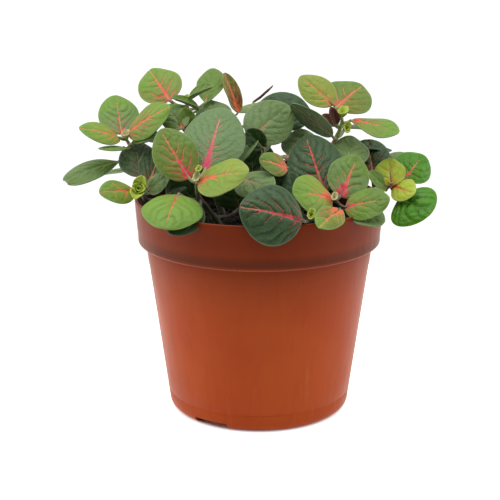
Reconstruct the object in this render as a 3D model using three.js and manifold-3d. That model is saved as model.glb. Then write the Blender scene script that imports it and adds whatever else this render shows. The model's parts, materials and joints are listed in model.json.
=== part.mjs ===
// A potted nerve plant: a plastic grower's pot filled with peat, with branching shoots that carry
// broad oval leaves in opposite pairs. Units are millimetres, +Z is up, the front of the plant faces
// -Y, and the origin is the centre of the pot's flat base.
import * as THREE from 'three';
import { mergeVertices } from 'three/addons/utils/BufferGeometryUtils.js';
import Module from 'manifold-3d';

// ---- driving dimensions ----
const POT_HEIGHT = 105;
const RIM_TOP_RADIUS = 60;
const RIM_LOW_RADIUS = 58.6;
const RIM_BAND_HEIGHT = 22;
const BODY_TOP_RADIUS = 55;
const BODY_LOW_RADIUS = 44.3;
const CORNER_RADIUS = 4.8;
const WALL = 1.4;
const FLOOR = 1.8;
const POT_SEGMENTS = 64;
const SHOULDER = [[0, 0], [2.2, 0.5], [3.1, 1.5]];
const SHOULDER_RISE = 3.4;
const RIM_EDGE = 0.8;
const RIM_ROUND = 0.4;
const CHANNEL_WIDTH = 18;
const CHANNEL_HEIGHT = 3.6;
const CHANNEL_START = 15;
const CHANNEL_ROOF = 1.5;
const CHANNEL_ROOF_END = 52;
const CHANNEL_END = 54;
const CHANNEL_DIRECTIONS = [-122.5, -2.5, 117.5];
const DRAIN_HOLE_RADIUS = 4;
const DRAIN_HOLE_AT = 27;
const SOIL_TOP = 91;
const SOIL_DOME = 2.5;
const GAP = 0.3;
const LEAF_THICKNESS = 0.9;
const LEAF_ROWS = 7;
const LEAF_COLUMNS = 6;
const SMALL_ROWS = 6;
const SMALL_COLUMNS = 4;
const LEAF_GAP = 0.35;
const OVAL_FULLNESS = 0.52;
const TIP_TAPER = 0.08;
const EDGE_THINNING = 0.75;
const PETIOLE_RADIUS = 0.8;
const STEM_RADIUS = 1.5;
const CROWN_RADIUS = 2.5;
const STALK_SAG = 0.12;
const STALK_SAG_AT = 0.55;
const STALK_RISE = 0.35;
const STALK_SHORT_OF_LEAF = 0.45;
const STALK_INTO_LEAF = 1.2;
const STALK_INTO_WIDER_LEAF = 1.6;
const WIDER_LEAF = 12;
const BROAD_LEAF = 20;
const BROAD_LEAF_STALK_EXTRA = 0.15;
const STEM_SIDES = 6;
const STEM_STEPS = 6;
const STALK_SIDES = 5;
const STALK_STEPS = 3;
const STEM_COLOUR = 0x9c9a63;
const SMOOTHING = 0.01;

const wasm = await Module();
wasm.setup();

// ---- helpers ----
const V = (a) => new THREE.Vector3(a[0], a[1], a[2]);
const rad = (d) => (d * Math.PI) / 180;

function toSolid(geometry) {
  const g = geometry.clone();
  g.deleteAttribute('normal');
  g.deleteAttribute('uv');
  const m = mergeVertices(g, 1e-3);
  return new wasm.Manifold(
    new wasm.Mesh({
      numProp: 3,
      vertProperties: new Float32Array(m.attributes.position.array),
      triVerts: new Uint32Array(m.index.array),
    }),
  );
}

function toGeometry(solid) {
  const m = solid.getMesh();
  const p = new Float32Array(m.numVert * 3);
  for (let i = 0; i < m.numVert; i++) {
    for (let k = 0; k < 3; k++) p[3 * i + k] = m.vertProperties[m.numProp * i + k];
  }
  const g = new THREE.BufferGeometry();
  g.setAttribute('position', new THREE.BufferAttribute(p, 3));
  g.setIndex(Array.from(m.triVerts));
  g.computeVertexNormals();
  return g;
}

function largest(solid) {
  const parts = solid.decompose();
  parts.sort((a, b) => b.volume() - a.volume());
  return parts[0];
}

const group = new THREE.Group();
group.name = 'potted_nerve_plant';

function show(name, geometry, colour, roughness) {
  const material = new THREE.MeshStandardMaterial({ color: colour, roughness, metalness: 0 });
  const mesh = new THREE.Mesh(geometry, material);
  mesh.name = name;
  group.add(mesh);
  return mesh;
}

// ---- pot ----
// The outside of the pot from the centre of the base out and up to the rim's outer edge.
function outsideProfile(inset) {
  const points = [];
  const low = BODY_LOW_RADIUS - inset;
  const r = CORNER_RADIUS;
  for (let i = 0; i <= 4; i++) {
    const a = (i / 4) * (Math.PI / 2);
    points.push([low - r + r * Math.sin(a), inset + r - r * Math.cos(a)]);
  }
  const bandFoot = POT_HEIGHT - RIM_BAND_HEIGHT;
  for (const [out, rise] of SHOULDER) {
    points.push([BODY_TOP_RADIUS + out - inset, bandFoot + rise + inset]);
  }
  points.push([RIM_LOW_RADIUS - inset, bandFoot + SHOULDER_RISE + inset]);
  points.push([RIM_TOP_RADIUS - inset, POT_HEIGHT - RIM_EDGE]);
  return points;
}

function lathe(points) {
  return new THREE.LatheGeometry(
    points.map((p) => new THREE.Vector2(p[0], p[1])),
    POT_SEGMENTS,
  ).rotateX(Math.PI / 2);
}

const outside = outsideProfile(0);
const inside = outsideProfile(WALL);
const potWall = toSolid(
  lathe([
    [0, 0],
    ...outside,
    [RIM_TOP_RADIUS - RIM_ROUND, POT_HEIGHT],
    [RIM_TOP_RADIUS - WALL + RIM_ROUND / 2, POT_HEIGHT],
    ...inside.slice().reverse().map((p) => [p[0], Math.max(p[1], FLOOR)]),
    [0, FLOOR],
  ]),
);
const potFilled = toSolid(
  lathe([[0, 0], ...outside, [0, POT_HEIGHT - RIM_EDGE]]),
);

function channelBox(extra, from, to, low, high, direction) {
  const box = new THREE.BoxGeometry(to - from, CHANNEL_WIDTH + 2 * extra, high - low);
  box.translate((from + to) / 2, 0, (low + high) / 2);
  box.rotateZ(rad(direction));
  return toSolid(box);
}

let pot = potWall;
for (const direction of CHANNEL_DIRECTIONS) {
  const roof = channelBox(
    CHANNEL_ROOF, CHANNEL_START - CHANNEL_ROOF, CHANNEL_ROOF_END, 0, CHANNEL_HEIGHT + CHANNEL_ROOF, direction,
  );
  pot = pot.add(roof.intersect(potFilled));
}
for (const direction of CHANNEL_DIRECTIONS) {
  pot = pot.subtract(channelBox(0, CHANNEL_START, CHANNEL_END, -2, CHANNEL_HEIGHT, direction));
  const hole = new THREE.CylinderGeometry(DRAIN_HOLE_RADIUS, DRAIN_HOLE_RADIUS, 12, 20);
  hole.rotateX(Math.PI / 2);
  const x = DRAIN_HOLE_AT * Math.cos(rad(direction));
  const y = DRAIN_HOLE_AT * Math.sin(rad(direction));
  hole.translate(x, y, 4);
  pot = pot.subtract(toSolid(hole));
}
show('pot', toGeometry(pot.simplify(0.005)), 0xa5532f, 0.55);

// ---- soil ----
const soilSide = outsideProfile(WALL + GAP)
  .filter((p) => p[1] < SOIL_TOP - 4)
  .map((p) => [p[0], Math.max(p[1], FLOOR + GAP)]);
let soil = toSolid(
  lathe([
    [0, FLOOR + GAP],
    ...soilSide,
    [RIM_LOW_RADIUS - WALL - GAP, SOIL_TOP - 1.5],
    [RIM_LOW_RADIUS - WALL - 5, SOIL_TOP],
    [RIM_LOW_RADIUS - WALL - 22, SOIL_TOP + SOIL_DOME * 0.7],
    [0, SOIL_TOP + SOIL_DOME],
  ]),
);
for (const direction of CHANNEL_DIRECTIONS) {
  const over = channelBox(
    CHANNEL_ROOF + GAP, CHANNEL_START - CHANNEL_ROOF - GAP, 60, 0,
    CHANNEL_HEIGHT + CHANNEL_ROOF + GAP, direction,
  );
  soil = soil.subtract(over);
}
show('soil', toGeometry(soil.simplify(0.005)), 0x2b2019, 0.95);

// ---- crowns ----
// A crown is the growing end of a stem, where its youngest leaves stand. Each is on a shoot.
const CROWNS = {
  left: { shoot: 'left', at: [-64, 4, 132] },
  low_left: { shoot: 'left', at: [-56, -18, 112] },
  upper_left: { shoot: 'upper_left', at: [-35, 12, 148] },
  front_left: { shoot: 'front_left', at: [-29, -36, 121] },
  middle: { shoot: 'middle', at: [2, 0, 134] },
  low_middle: { shoot: 'middle', at: [6, -23, 120] },
  upper_right: { shoot: 'upper_right', at: [40, 6, 141] },
  front_right: { shoot: 'front_right', at: [34, -35, 112] },
  rim: { shoot: 'front_right', at: [24, -48, 106] },
  far_right: { shoot: 'far_right', at: [63, -4, 111] },
  back_left: { shoot: 'back', at: [-34, 36, 124] },
  back_middle: { shoot: 'back', at: [-2, 42, 130] },
  back_right: { shoot: 'back', at: [30, 36, 119] },
};

// ---- leaves ----
// Each row: name, crown, how far the leaf's foot is from the crown, how far its tip is from its
// foot, width, the way the upper side faces, arch and cup in degrees, and the age that sets its
// colour. Distances are right, back and up. The foot is where the stalk ends.
const LEAVES = [
  ['leaf_left_1', 'left', [-2, 2, 2], [-5, 19, 16], 20, [0.1, -0.8, 0.55], 20, -15, 'mid'],
  ['leaf_left_2', 'left', [1, -1, 3], [21, -8, 14], 20, [-0.25, -0.6, 0.75], 25, -20, 'young'],
  ['leaf_left_3', 'left', [-3, -1, 1], [-18, -10, 6], 17, [-0.1, -0.5, 0.86], 25, -15, 'young'],
  ['leaf_far_left', 'left', [-3, -3, -10], [-26, -10, -8], 17, [-0.1, -0.4, 0.9], 25, -15, 'old'],
  ['leaf_low_left_1', 'low_left', [-3, 1, -1], [-15, -11, 2], 14, [-0.1, -0.75, 0.65], 25, -15, 'mid'],
  ['leaf_low_left_2', 'low_left', [0, 4, 6], [-4, 22, 12], 19, [0, -0.8, 0.6], 15, -15, 'dark'],
  ['leaf_low_left_3', 'low_left', [4, 0, 2], [5, 20, 15], 16, [0.2, -0.75, 0.6], 15, -10, 'dark'],
  ['leaf_low_left_4', 'low_left', [4, -5, 1], [11, -6, 9], 9, [-0.2, -0.85, 0.45], 15, -15, 'old'],

  ['leaf_upper_left_1', 'upper_left', [-8, -3, 2], [-11, 19, 12], 22, [-0.1, -0.75, 0.65], 15, -15, 'young'],
  ['leaf_upper_left_2', 'upper_left', [9, 4, 0], [4, 18, 14], 14, [-0.15, -0.85, 0.45], 10, -15, 'mid'],
  ['leaf_upper_left_3', 'upper_left', [25, 10, -6], [-7, 4, 19], 9, [0.5, -0.8, 0.2], 10, 30, 'red'],
  ['leaf_upper_left_4', 'upper_left', [-1, -18, -9], [-9, 15, 9], 14, [-0.2, -0.75, 0.6], 15, -15, 'mid'],
  ['leaf_upper_left_5', 'upper_left', [14, -9, -10], [-2, 19, 10], 18, [0, -0.8, 0.6], 15, -15, 'old'],

  ['leaf_front_left_1', 'front_left', [4, 6, 3], [8, 30, 24], 30, [0, -0.85, 0.5], 25, -20, 'old'],
  ['leaf_front_left_2', 'front_left', [-3, 2, 0], [-14, 14, 20], 21, [-0.25, -0.7, 0.65], 25, -15, 'mid'],
  ['leaf_front_left_3', 'front_left', [1, -1, -1], [23, -11, 7], 23, [0.1, -0.6, 0.8], 25, -15, 'young'],
  ['leaf_front_left_4', 'front_left', [-8, 1, -7], [-5, -26, -10], 29, [0, -0.5, 0.85], 40, -25, 'fresh'],
  ['leaf_front_left_5', 'front_left', [2, -6, -11], [-13, -16, -9], 16, [0, -0.6, 0.8], 20, -20, 'dark'],

  ['leaf_middle_1', 'middle', [-6, -6, 0], [18, 15, 14], 24, [0.1, -0.8, 0.6], 20, -15, 'old'],
  ['leaf_middle_2', 'middle', [9, 5, 2], [1, 25, 15], 29, [0, -0.8, 0.6], 15, -15, 'dark'],
  ['leaf_middle_3', 'low_middle', [7, -1, 4], [-13, -6, 5], 13, [-0.1, -0.7, 0.7], 15, -15, 'young'],
  ['leaf_middle_4', 'low_middle', [-16, -4, 0], [16, -13, -3], 19, [0, -0.6, 0.8], 15, -15, 'old'],

  ['leaf_upper_right_1', 'upper_right', [-3, 1, 6], [14, 17, 8], 24, [-0.15, -0.85, 0.5], 20, -15, 'mid'],
  ['leaf_upper_right_2', 'upper_right', [-4, 3, 7], [-16, 11, 12], 16, [-0.2, -0.6, 0.75], 15, -15, 'young'],
  ['leaf_upper_right_3', 'upper_right', [4, -1, 0], [22, -11, -4], 16, [0.1, -0.45, 0.88], 20, -15, 'young'],
  ['leaf_upper_right_4', 'upper_right', [-5, -4, -7], [-20, 2, 15], 15, [0.35, 0.65, 0.6], 20, -15, 'old'],

  ['leaf_front_right_1', 'front_right', [-4, 7, 1], [-8, 26, 22], 27, [-0.1, -0.85, 0.5], 25, -20, 'dark'],
  ['leaf_front_right_2', 'front_right', [3, 3, 0], [9, 16, 16], 20, [0.15, -0.85, 0.5], 20, -15, 'mid'],
  ['leaf_front_right_3', 'front_right', [-1, 1, 0], [-18, -12, 5], 23, [-0.1, -0.75, 0.65], 20, -15, 'fresh'],
  ['leaf_front_right_4', 'front_right', [5, -1, -4], [20, -6, 5], 18, [0.15, -0.65, 0.75], 20, -15, 'mid'],
  ['leaf_front_right_5', 'front_right', [2, -12, -2], [-10, -15, -5], 13, [0, -0.7, 0.7], 20, -15, 'red'],
  ['leaf_front_right_6', 'front_right', [10, 3, -5], [11, -14, -5], 16, [0.25, -0.6, 0.75], 20, -15, 'old'],
  ['leaf_front_right_7', 'front_right', [-15, 30, 13], [2, 19, 10], 19, [-0.1, -0.8, 0.6], 15, -15, 'old'],
  ['leaf_front_right_8', 'front_right', [8, 25, 10], [2, 22, 10], 20, [0, -0.8, 0.6], 15, -15, 'dark'],
  ['leaf_rim_front', 'rim', [-5, -9, 1], [-28, -3, 7], 30, [0, -0.85, 0.5], 25, -35, 'dark'],

  ['leaf_far_right_1', 'far_right', [0, -4, 1], [-1, 6, 12], 15, [0, -0.8, 0.5], 15, -15, 'bud'],
  ['leaf_far_right_2', 'far_right', [1, -2, 0], [9, -11, -1], 13, [0.1, -0.9, 0.45], 15, -15, 'bud'],
  ['leaf_far_right_3', 'far_right', [-9, 0, 7], [-1, 20, 12], 20, [0, -0.8, 0.6], 15, -15, 'dark'],
  ['leaf_far_right_4', 'far_right', [7, 6, 2], [11, 14, 9], 19, [0.2, -0.75, 0.65], 15, -15, 'fresh'],
  ['leaf_far_right_5', 'far_right', [4, -4, -5], [13, -14, -5], 27, [0.15, -0.85, 0.5], 30, -20, 'fresh'],

  ['leaf_back_1', 'back_left', [-4, 2, 1], [-20, 14, -3], 25, [-0.4, 0.5, 0.8], 25, -15, 'mid'],
  ['leaf_back_2', 'back_left', [4, 2, 3], [12, 24, 1], 26, [-0.1, 0.5, 0.85], 25, -15, 'dark'],
  ['leaf_back_3', 'back_middle', [2, 4, 2], [4, 28, -7], 27, [0, 0.7, 0.7], 30, -15, 'mid'],
  ['leaf_back_4', 'back_right', [2, 2, 3], [14, 22, -6], 26, [0.4, 0.6, 0.75], 25, -15, 'dark'],
  ['leaf_back_5', 'back_right', [16, -10, 0], [24, 8, -7], 22, [0.4, 0.2, 0.85], 25, -15, 'mid'],
  ['leaf_back_6', 'back_left', [-24, -6, -11], [-26, 8, -7], 23, [-0.5, 0.3, 0.8], 25, -15, 'mid'],
  ['leaf_back_7', 'back_left', [8, 26, -15], [-10, 20, -12], 23, [-0.2, 0.8, 0.6], 25, -15, 'fresh'],
  ['leaf_back_8', 'back_right', [-8, 26, -11], [12, 18, -12], 23, [0.2, 0.8, 0.6], 25, -15, 'fresh'],
  ['leaf_back_9', 'back_middle', [0, -16, 11], [2, 22, 1], 23, [0, 0.3, 0.95], 25, -15, 'mid'],
  ['leaf_back_10', 'far_right', [-2, 12, 2], [14, 18, -7], 18, [0.4, 0.2, 0.9], 25, -15, 'dark'],
];

// Small, inner and hidden leaves, which are one body with the shoot that carries them. The same
// columns as above, with no name and no age.
const SMALL_LEAVES = [
  ['upper_left', [1, 0, 2], [12, -6, 7], 10, [0.1, -0.4, 0.9], 15, 60],
  ['upper_left', [2, -14, -12], [-3, 2, 12], 10, [0.1, -0.8, 0.5], 15, 50],
  ['upper_left', [6, -4, -2], [-13, -4, 6], 8, [0, -0.3, 0.95], 15, 60],
  ['upper_left', [0, 8, -9], [1, 24, -4], 22, [0, 0.5, 0.85], 25, -15],
  ['upper_left', [-3, 2, -16], [-21, 8, -5], 19, [-0.3, 0.2, 0.9], 25, -15],
  ['upper_left', [18, 6, -38], [-8, 6, 17], 21, [-0.1, -0.9, 0.3], 20, -15],
  ['left', [-1, -4, -3], [-10, -11, 1], 12, [0, -0.05, 1], 10, -10],
  ['left', [4, -4, 0], [12, -7, 5], 8, [0, -0.5, 0.8], 10, -10],
  ['left', [4, 8, -8], [0, 21, -6], 18, [-0.1, 0.4, 0.9], 25, -15],
  ['low_left', [9, -5, 2], [3, 4, 10], 7, [0, -0.8, 0.6], 10, -10],
  ['low_left', [13, -4, -1], [9, -6, 4], 8, [0.1, -0.3, 0.9], 10, -10],
  ['low_left', [25, 14, -9], [-11, 4, 13], 19, [-0.1, -0.9, 0.35], 20, -15],
  ['front_left', [20, 24, -19], [-7, 6, 17], 21, [0, -0.9, 0.3], 20, -15],
  ['middle', [-3, -7, 0], [-8, -7, -10], 9, [-0.75, -0.4, 0.5], 15, 10],
  ['middle', [0, -8, -4], [-8, -1, 9], 10, [0, -0.9, 0.4], 15, 20],
  ['middle', [4, 8, -4], [16, 22, 0], 21, [0.1, 0.3, 0.95], 25, -15],
  ['middle', [7, 2, -30], [-1, 6, 18], 22, [0, -0.9, 0.3], 20, -15],
  ['middle', [-5, 20, 13], [10, 4, 8], 5, [0.6, -0.3, -0.7], 15, -10],
  ['upper_right', [-3, -2, -2], [-3, -2, 9], 6, [0.2, -0.9, 0.2], 10, 60],
  ['upper_right', [-4, -2, -2], [-6, -1, 5], 6, [0, -0.6, 0.8], 10, 40],
  ['upper_right', [2, 8, -5], [8, 22, -4], 21, [0.2, 0.5, 0.85], 25, -15],
  ['upper_right', [4, 5, -13], [21, 6, -4], 17, [0.3, 0.1, 0.95], 25, -15],
  ['upper_right', [-10, 4, -37], [9, 5, 17], 21, [0.1, -0.9, 0.3], 20, -15],
  ['front_right', [-17, -2, -4], [-3, 12, 14], 12, [-0.6, -0.7, 0.35], 10, 10],
  ['far_right', [-2, -4, -1], [-9, -1, 9], 8, [-0.6, -0.2, 0.75], 10, 10],
  ['far_right', [6, 11, 4], [2, 17, 7], 16, [0.1, -0.7, 0.7], 15, -15],
  ['back_left', [20, 2, -8], [0, 22, -2], 21, [0, 0.5, 0.85], 25, -15],
  ['back_left', [-10, 8, -12], [-18, 14, -5], 19, [-0.4, 0.5, 0.8], 25, -15],
  ['back_middle', [16, 4, -16], [6, 20, -3], 21, [0.1, 0.5, 0.85], 25, -15],
  ['back_middle', [-2, 20, -22], [1, 21, -11], 21, [0, 0.8, 0.6], 25, -15],
  ['back_middle', [-1, -14, -22], [-1, 6, 19], 24, [0, -0.9, 0.3], 20, -15],
  ['back_right', [16, 14, -11], [14, 16, -8], 19, [0.5, 0.6, 0.7], 25, -15],
];

// Most leaves are widest near the middle of their length. These few are not.
const WIDEST_AT = 0.47;
const WIDEST_ELSEWHERE = {
  leaf_far_left: 0.62,
  leaf_upper_right_3: 0.65,
  leaf_upper_left_2: 0.58,
  leaf_low_left_4: 0.38,
};

const LEAF_COLOURS = {
  bud: 0xa9c04a,
  young: 0x93a451,
  fresh: 0x5f8f35,
  mid: 0x6f8a4a,
  old: 0x70825c,
  dark: 0x3d5236,
  red: 0x7a4a38,
};

function shapeOf(crown, toFoot, toTip, width, faces, arch, cup, widest) {
  const foot = V(CROWNS[crown].at).add(V(toFoot));
  const tip = foot.clone().add(V(toTip));
  return { shoot: CROWNS[crown].shoot, foot, tip, width, faces, arch, cup, widest };
}

// Half the width at a point from foot (0) to tip (1): a broad oval, rounded at both ends.
function halfWidth(u, widest) {
  const k = Math.log(0.5) / Math.log(widest);
  const s = Math.pow(Math.max(0, Math.sin(Math.PI * Math.pow(u, k))), OVAL_FULLNESS);
  return s * (1 - TIP_TAPER * Math.pow(u, 6));
}

// One leaf as a closed body: an upper and a lower face that meet along the edge. The midrib is an
// arc of the arch angle from foot to tip, and each cross-section is an arc of the cup angle.
function leafGeometry({ foot, tip, width, faces, arch, cup, widest }, grow, rows, columns) {
  const chord = tip.clone().sub(foot);
  const length = chord.length();
  const along = chord.clone().normalize();
  const up = V(faces);
  up.addScaledVector(along, -up.dot(along)).normalize();
  const side = new THREE.Vector3().crossVectors(up, along);
  const turn = rad(arch);
  const bend = rad(cup);
  const half = Math.sin(turn / 2);
  const sides = [[], []];
  for (let i = 0; i <= rows; i++) {
    const u = (1 - Math.cos((Math.PI * i) / rows)) / 2;
    const angle = turn * (u - 0.5);
    const x = (Math.sin(angle) + half) / (2 * half);
    const z = (Math.cos(angle) - Math.cos(turn / 2)) / (2 * half);
    const mid = foot.clone().addScaledVector(along, length * x).addScaledVector(up, length * z);
    const normal = up.clone().multiplyScalar(Math.cos(angle)).addScaledVector(along, Math.sin(angle));
    const end = i === 0 || i === rows;
    if (end && grow) mid.addScaledVector(along, i === 0 ? -grow : grow);
    const w = end ? 0 : (width / 2) * halfWidth(u, widest) + grow;
    const rowTop = [];
    const rowLow = [];
    for (let j = 0; j <= columns; j++) {
      const v = Math.sin((Math.PI / 2) * ((2 * j) / columns - 1));
      const q = mid.clone();
      q.addScaledVector(side, (w * Math.sin(bend * v)) / bend);
      q.addScaledVector(normal, (w * (1 - Math.cos(bend * v))) / bend);
      const edge = j === 0 || j === columns;
      const lift = end || edge ? 0 : (LEAF_THICKNESS / 2 + grow) * Math.sqrt(1 - EDGE_THINNING * v * v);
      const out = normal.clone().multiplyScalar(Math.cos(bend * v));
      out.addScaledVector(side, -Math.sin(bend * v));
      rowTop.push(q.clone().addScaledVector(out, lift));
      rowLow.push(q.clone().addScaledVector(out, -lift));
    }
    sides[0].push(rowTop);
    sides[1].push(rowLow);
  }
  const positions = [];
  const tri = (a, b, c) => {
    if (a.distanceTo(b) < 1e-4 || b.distanceTo(c) < 1e-4 || a.distanceTo(c) < 1e-4) return;
    positions.push(a.x, a.y, a.z, b.x, b.y, b.z, c.x, c.y, c.z);
  };
  for (let i = 0; i < rows; i++) {
    for (let j = 0; j < columns; j++) {
      const t = sides[0];
      tri(t[i][j], t[i + 1][j], t[i + 1][j + 1]);
      tri(t[i][j], t[i + 1][j + 1], t[i][j + 1]);
      const l = sides[1];
      tri(l[i][j], l[i + 1][j + 1], l[i + 1][j]);
      tri(l[i][j], l[i][j + 1], l[i + 1][j + 1]);
    }
  }
  const g = new THREE.BufferGeometry();
  g.setAttribute('position', new THREE.Float32BufferAttribute(positions, 3));
  g.setAttribute('normal', new THREE.Float32BufferAttribute(positions.slice(), 3));
  g.setAttribute('uv', new THREE.Float32BufferAttribute(new Array((positions.length / 3) * 2).fill(0), 2));
  return g;
}

// ---- shoots ----
// Each shoot rises from the soil through its bends to a crown, and may carry a side branch.
const SHOOTS = {
  left: [
    [[-30, 2, 94.5], [-38, 3, 104], [-50, 4, 118], [-60, 5, 126], CROWNS.left.at],
    [[-38, 3, 104], [-46, -8, 104], [-53, -15, 106.5], CROWNS.low_left.at],
  ],
  upper_left: [
    [[-18, 8, 94.5], [-23, 9, 108], [-29, 10, 126], [-33, 11, 140], CROWNS.upper_left.at],
  ],
  front_left: [
    [[-18, -18, 94.5], [-23, -24, 103], [-28, -31, 112], CROWNS.front_left.at],
  ],
  middle: [
    [[0, 4, 94.5], [1, 3, 108], [2, 1, 122], CROWNS.middle.at],
    [[1, 3, 100], [2, -10, 107], [4, -19, 113], CROWNS.low_middle.at],
  ],
  upper_right: [
    [[20, 8, 94.5], [26, 8, 108], [33, 7, 124], [38, 6, 134], CROWNS.upper_right.at],
  ],
  front_right: [
    [[18, -18, 94.5], [23, -23, 100], [29, -30, 105], CROWNS.front_right.at],
    [[23, -23, 100], [24, -36, 102], CROWNS.rim.at],
  ],
  far_right: [
    [[34, 0, 94.5], [42, -1, 99], [52, -2, 106], [60, -3, 109], CROWNS.far_right.at],
  ],
  back: [
    [[-10, 26, 94.5], [-20, 34, 104], [-30, 36, 114], CROWNS.back_left.at],
    [[-10, 26, 94.5], [-4, 38, 104], [-2, 44, 118], CROWNS.back_middle.at],
    [[-4, 38, 104], [14, 40, 105], [26, 38, 112], CROWNS.back_right.at],
  ],
};

// Where each leaf stalk leaves its shoot, for leaves that don't start at the nearest crown.
function nearestOnShoot(shoot, point) {
  let best = null;
  for (const path of SHOOTS[shoot]) {
    const curve = new THREE.CatmullRomCurve3(path.map(V));
    for (let i = 4; i <= 20; i++) {
      const p = curve.getPoint(i / 20);
      const drop = point.z - p.z;
      const flat = Math.hypot(point.x - p.x, point.y - p.y);
      const d = flat + Math.abs(drop - STALK_RISE * flat);
      if (!best || d < best.d) best = { d, p };
    }
  }
  return best.p;
}

function ball(centre, radius) {
  const g = new THREE.IcosahedronGeometry(radius, 0);
  g.translate(centre.x, centre.y, centre.z);
  return toSolid(g);
}

function tube(points, radius, sides, steps) {
  const curve = new THREE.CatmullRomCurve3(points);
  const ring = [];
  for (let i = 0; i < sides; i++) {
    const a = (2 * Math.PI * i) / sides;
    ring.push(new THREE.Vector2(radius * Math.cos(a), radius * Math.sin(a)));
  }
  const g = new THREE.ExtrudeGeometry(new THREE.Shape(ring), { steps, extrudePath: curve });
  return toSolid(g);
}

const leafShapes = LEAVES.map(([name, ...row]) => {
  const age = row.pop();
  return { name, age, ...shapeOf(...row, WIDEST_ELSEWHERE[name] ?? WIDEST_AT) };
});
const smallShapes = SMALL_LEAVES.map((row) => shapeOf(...row, WIDEST_AT));

// A stalk runs from its shoot to the foot of its leaf and sags a little between them. It ends
// short of a large leaf, which is a body of its own, and runs into a small one.
function stalk({ shoot, foot, tip, width }, past) {
  const start = nearestOnShoot(shoot, foot);
  const span = start.distanceTo(foot);
  const stop = foot.clone().addScaledVector(tip.clone().sub(foot).normalize(), past);
  const middle = start.clone().lerp(foot, STALK_SAG_AT);
  middle.z -= STALK_SAG * span;
  const broad = past < 0 && width > BROAD_LEAF;
  const radius = PETIOLE_RADIUS + (broad ? BROAD_LEAF_STALK_EXTRA : 0);
  return { span, points: [start, middle, stop], radius };
}

const stems = {};
const stemsGrown = {};
for (const [name, paths] of Object.entries(SHOOTS)) {
  let solid = null;
  let grown = null;
  const join = (make) => {
    solid = solid ? solid.add(make(0)) : make(0);
    grown = grown ? grown.add(make(GAP)) : make(GAP);
  };
  for (const path of paths) {
    const points = path.map(V);
    join((extra) => tube(points, STEM_RADIUS + extra, STEM_SIDES, STEM_STEPS));
    join((extra) => ball(points[points.length - 1], CROWN_RADIUS + extra));
  }
  for (const shape of leafShapes.filter((leaf) => leaf.shoot === name)) {
    const { span, points, radius } = stalk(shape, -STALK_SHORT_OF_LEAF);
    if (span > CROWN_RADIUS) join((extra) => tube(points, radius + extra, STALK_SIDES, STALK_STEPS));
  }
  for (const shape of smallShapes.filter((leaf) => leaf.shoot === name)) {
    const past = shape.width > WIDER_LEAF ? STALK_INTO_WIDER_LEAF : STALK_INTO_LEAF;
    const { points, radius } = stalk(shape, past);
    join((extra) => tube(points, radius + extra, STALK_SIDES, STALK_STEPS));
  }
  stems[name] = solid;
  stemsGrown[name] = grown;
}

// The space the rim of the pot needs, with the gap round it.
const rimSpace = toSolid(
  lathe([
    [BODY_TOP_RADIUS + GAP, POT_HEIGHT - RIM_BAND_HEIGHT - 3],
    [RIM_LOW_RADIUS + GAP, POT_HEIGHT - RIM_BAND_HEIGHT - 1],
    [RIM_TOP_RADIUS + GAP, POT_HEIGHT + GAP],
    [RIM_TOP_RADIUS - WALL - GAP, POT_HEIGHT + GAP],
    [RIM_LOW_RADIUS - WALL - GAP, POT_HEIGHT - RIM_BAND_HEIGHT + 1],
    [BODY_TOP_RADIUS - WALL - GAP, POT_HEIGHT - RIM_BAND_HEIGHT - 3],
    [BODY_TOP_RADIUS + GAP, POT_HEIGHT - RIM_BAND_HEIGHT - 3],
  ]),
);

// What is placed first keeps its space, and each later piece is cut back to leave the gap.
function cutClear(solid, others) {
  let kept = solid;
  for (const other of others) {
    if (kept.intersect(other).volume() > 0) kept = kept.subtract(other);
  }
  return largest(kept);
}

const taken = [rimSpace];
const bodies = {};
for (const [name, solid] of Object.entries(stems)) {
  bodies[name] = cutClear(solid, taken);
  taken.push(stemsGrown[name]);
}
for (const shape of leafShapes) {
  const whole = toSolid(leafGeometry(shape, 0, LEAF_ROWS, LEAF_COLUMNS));
  const body = cutClear(whole, taken).simplify(SMOOTHING);
  show(shape.name, toGeometry(body), LEAF_COLOURS[shape.age], 0.5);
  taken.push(toSolid(leafGeometry(shape, LEAF_GAP, LEAF_ROWS, LEAF_COLUMNS)));
}
for (const shape of smallShapes) {
  const whole = toSolid(leafGeometry(shape, 0, SMALL_ROWS, SMALL_COLUMNS));
  const body = cutClear(whole, taken.filter((other) => other !== stemsGrown[shape.shoot]));
  bodies[shape.shoot] = largest(bodies[shape.shoot].add(body));
  taken.push(toSolid(leafGeometry(shape, LEAF_GAP, SMALL_ROWS, SMALL_COLUMNS)));
}
for (const [name, body] of Object.entries(bodies)) {
  show('stem_' + name, toGeometry(largest(body.simplify(SMOOTHING))), STEM_COLOUR, 0.6);
}

export default group;
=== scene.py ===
# %% [markdown]
# # A potted nerve plant
# This lesson dresses a small house plant: branching shoots with broad, pink-veined leaves in a round
# plastic pot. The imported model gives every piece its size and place. It could be shown as it is,
# but its leaves are coarse solids. So each leaf, stem, the soil and the pot is modelled again here
# in the same place, with the fine shape and finish that the eye looks for.

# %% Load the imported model
import json
import math
import random

import bpy
import numpy as np
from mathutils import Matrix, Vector, noise


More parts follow.
